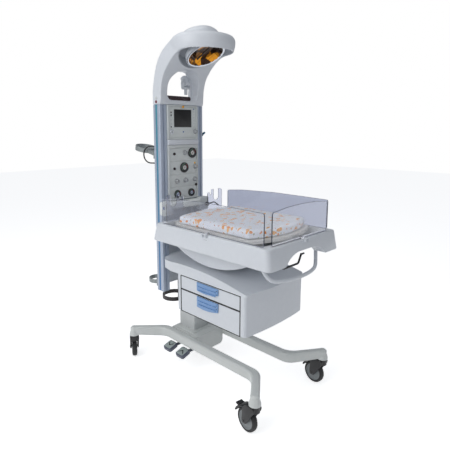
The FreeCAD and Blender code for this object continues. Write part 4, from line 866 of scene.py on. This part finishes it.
# Alarm light on the window's sill, a dark red lens. Two buttons sit on the
# arch's left foot.
red_lens = finish("red_polycarbonate", "#3a0710", "#2c050b", 0.14, 0.0020, 0.0001, coat=0.6)
dress(red_lens, "alarm_lens")
dark_red = finish("button_red", "#7d3b48", "#703340", 0.35, 0.0010, 0.0001)
for name, z, material in (("lamp_button", 1.648, shell_grey), ("call_button", 1.626, dark_red)):
    at = shift(-arch_half, 0.386, z) @ rotate(-90, "Y")
    button = turned([(0, 0.0), (0.0085, 0.0), (0.0085, 0.0018), (0.0070, 0.0032), (0, 0.0036)], at, 32)
    piece(name, button, material, "carriage")


# Heater. A deep reflector of beaten gold-tone metal in a bright rim, with a black
# element along its floor and a wire guard over its mouth; its facets carry painted
# reflections and a faint painted glow.
dish = shift(0, hood_y - 0.028, 1.876) @ rotate(tilt, "X")
reflector = finish("gold_reflector_painted_reflections", "#8a4d08", "#4a2503", 0.16, 0.0300, 0.0001, metallic=1.0, coat=0.3)
tree = reflector.node_tree
# Painted reflections: each facet gets a dark or bright gold colour that stands in for what it reflects.
facets = add_node(tree, "TexVoronoi", {"Scale": 30.0, "feature": "F1"})
place = add_node(tree, "TexCoord")
tree.links.new(place.outputs["Object"], facets.inputs["Vector"])
tint = add_node(tree, "ValToRGB", None, {0: (facets, "Color")})
tint.color_ramp.elements[0].color = linear("#2a1402")
tint.color_ramp.elements[0].position = 0.50
tint.color_ramp.elements[1].color = linear("#e09418")
tint.color_ramp.elements[1].position = 0.95
shader = next(node for node in tree.nodes if node.type == "BSDF_PRINCIPLED")
tree.links.new(tint.outputs[0], shader.inputs["Base Color"])
# Painted glow: the same painted reflection colours also emit faintly, though the reflector is no lamp.
tree.links.new(tint.outputs[0], shader.inputs["Emission Color"])
shader.inputs["Emission Strength"].default_value = 0.05
bowl_line = [(0, 0.048), (0.030, 0.046), (0.057, 0.040), (0.078, 0.028), (0.094, 0.012), (0.103, 0.0006),
             (0.106, 0.0004), (0.096, 0.024), (0.060, 0.049), (0, 0.056)]
bowl = piece("heater_reflector", turned(bowl_line, dish, 22), reflector, "carriage", 4)
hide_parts("heater_dish")
rim_metal = finish("bright_rim", "#d5d9e0", "#c9ced6", 0.12, 0.0015, 0.0001, metallic=0.9)
rim_line = [(0.1005, 0.0035), (0.1020, 0.0), (0.1080, -0.0015), (0.1125, 0.001), (0.1130, 0.005), (0.1060, 0.007)]
piece("heater_rim", turned(rim_line, dish, 96, True), rim_metal, "carriage")
skirt_line = [(0.1130, 0.003), (0.1155, 0.003), (0.1120, 0.030), (0.0880, 0.052), (0.0600, 0.062), (0.0600, 0.058),
              (0.0860, 0.048), (0.1090, 0.028)]
piece("heater_housing", turned(skirt_line, dish, 96, True), shell_white, "carriage")
piece("heater_neck", turned([(0, 0.050), (0.060, 0.060), (0.024, 0.066), (0.022, 0.0717), (0, 0.0717)],
                            shift(0, hood_y - 0.004, 1.882), 48), shell_white, "carriage")
guard_wire = finish("blackened_wire", "#2a2320", "#332a25", 0.4, 0.0020, 0.0001, metallic=0.6)
guard = []
wire_r, wire_gap, mouth_r = 0.0007, 0.052, 0.104
for i in range(-1, 2):
    across = i * wire_gap
    reach = math.sqrt(mouth_r ** 2 - across ** 2)
    wire = dish @ shift(across, -reach, 0.0035) @ rotate(-90, "X")
    guard.append(rod(wire_r, 0, reach * 2, wire, 8))
piece("heater_guard", joined(*guard), guard_wire, "carriage")
glow_bar = finish("heater_element", "#17120e", "#2c1a10", 0.4, 0.0030, 0.0004)
bar = dish @ shift(0, -0.070, 0.022) @ rotate(-90, "X")
piece("heater_element", rod(0.005, 0, 0.140, bar, 24), glow_bar, "carriage")


# Procedure lamp. A tilting barrel between two cheeks on a short swivel post
# that stands on the window's sill.
lamp_x, lamp_y, lamp_z = 0.046, 0.372, 1.7497
lamp_at = shift(lamp_x, lamp_y, lamp_z)
barrel_at = lamp_at @ rotate(-32, "X") @ shift(0, 0, -0.006)
barrel_line = [(0, -0.020), (0.0170, -0.020), (0.0195, -0.017), (0.0200, 0.024), (0.0215, 0.030), (0.0215, 0.040),
               (0.0190, 0.043), (0.0165, 0.038), (0, 0.038)]
barrel = piece("lamp_barrel_shell", turned(barrel_line, barrel_at, 64), shell_white, "lamp_head")
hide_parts("lamp_barrel")
pin = turned([(0, -0.0285), (0.0110, -0.0285), (0.0125, -0.0270), (0.0125, 0.0270), (0.0110, 0.0285), (0, 0.0285)],
             lamp_at @ on_x, 40)
piece("lamp_tilt_knobs", pin, shell_white, "lamp_head")
cheek = [(-0.013, -0.036), (0.013, -0.036), (0.016, 0.0), (0.010, 0.015), (-0.010, 0.015), (-0.016, 0.0)]
yoke = [plate(cheek, 0.006, 0.0040, lamp_at @ shift(x, 0, 0) @ side_view, 0.0012)
        for x in (-0.0262, 0.0222)]
foot = turned([(0, -0.040), (0.0260, -0.040), (0.0270, -0.036), (0.0200, -0.030), (0, -0.030)], lamp_at, 48)
post = turned([(0, -0.074), (0.0100, -0.074), (0.0110, -0.038), (0, -0.038)], lamp_at, 40)
yoke = piece("lamp_yoke_shell", joined(*yoke, foot, post), shell_white, "lamp_yoke")
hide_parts("lamp_fork")


# Clear panels. Cast acrylic, polished on its faces, with a darker opaque edge band that
# is painted shade; the head panel carries a pale lavender tint, and the far side pane
# a darker lavender copy of the clear acrylic, which is painted shade.
def cast(name, colour):
    """A clear acrylic of that tint."""
    made = bare(name)
    tree = made.node_tree
    place = add_node(tree, "TexCoord")
    haze = add_node(tree, "TexNoise", {"Scale": 60.0, "Detail": 2.0}, {"Vector": (place, "Object")})
    gloss = add_node(tree, "MapRange", {"To Min": 0.02, "To Max": 0.07}, {"Value": (haze, 0)})
    shader = add_node(tree, "BsdfPrincipled", {"Base Color": linear(colour), "IOR": 1.49,
                                              "Transmission Weight": 1.0}, {"Roughness": (gloss, 0)})
    add_node(tree, "OutputMaterial", None, {"Surface": (shader, 0)})
    return made


acrylic = cast("cast_acrylic", "#f8f9fc")
header = cast("cast_acrylic_pale_tint", "#d3d6e3")
# The far side pane is a darker copy of the clear acrylic: painted shade.
far_pane_painted_shade = cast("cast_acrylic_far_painted_shade", "#a9aec0")
dress(header, "head_panel")
# Painted shade: an opaque lavender grey band round each pane stands in for the dark look of its clear edges.
painted_edge_shade = finish("acrylic_edge_painted_shade", "#9095a6", "#9a9fb0", 0.15, 0.0010, 0.0001, coat=0.3)
side_x, foot_y = 0.268, -0.530
rim_low, rim_high = 0.9385, 1.0960
edge_w, edge_t = 0.0016, 0.0054
side_line = [(-0.515, rim_low), (0.222, rim_low), (0.222, rim_high - 0.018), (0.100, rim_high - 0.006),
             (-0.150, rim_high + 0.0035), (-0.350, rim_high + 0.0020), (-0.515, rim_high)]
foot_line = [(-0.232, rim_low), (0.232, rim_low), (0.232, rim_high), (0.120, rim_high + 0.0120),
             (0, rim_high + 0.0155), (-0.120, rim_high + 0.0120), (-0.232, rim_high)]
for name, line, body, at in (
        ("side_edge_left", side_line, "side_flap_left", shift(-side_x - edge_t / 2, 0, 0) @ side_view),
        ("side_edge_right", side_line, "side_flap_right", shift(side_x - edge_t / 2, 0, 0) @ side_view),
        ("foot_edge", foot_line, "foot_flap", shift(0, foot_y + edge_t / 2, 0) @ front_view)):
    low = min(z for x, z in line)
    left, right = min(x for x, z in line), max(x for x, z in line)
    inner = [(x + (edge_w if x == left else -edge_w if x == right else 0), z + (edge_w if z == low else -edge_w))
             for x, z in line]
    rim = carve(plate(line, 0.010, edge_t, at), plate(inner, 0.009, edge_t * 3, at @ shift(0, 0, -edge_t)))
    piece(name, rim, painted_edge_shade, body)
    sheet = plate(line, 0.010, edge_t - 0.0004, at @ shift(0, 0, 0.0002))
    pane = piece(name.replace("edge", "pane"), sheet, far_pane_painted_shade if name == "side_edge_right" else acrylic, body)
    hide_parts(name.replace("edge", "panel"))
for name, body, corners in (("left", "side_flap_left", rect(-0.304, -0.267, -0.1645, -0.1455)),
                            ("right", "side_flap_right", rect(0.267, 0.304, -0.1645, -0.1455)),
                            ("foot", "foot_flap", rect(-0.0095, 0.0095, -0.568, -0.529))):
    leaf = plate(corners, 0.002, 0.007, shift(0, 0, 0.9405), 0.0012)
    piece("hinge_leaf_" + name, leaf, acrylic, body)
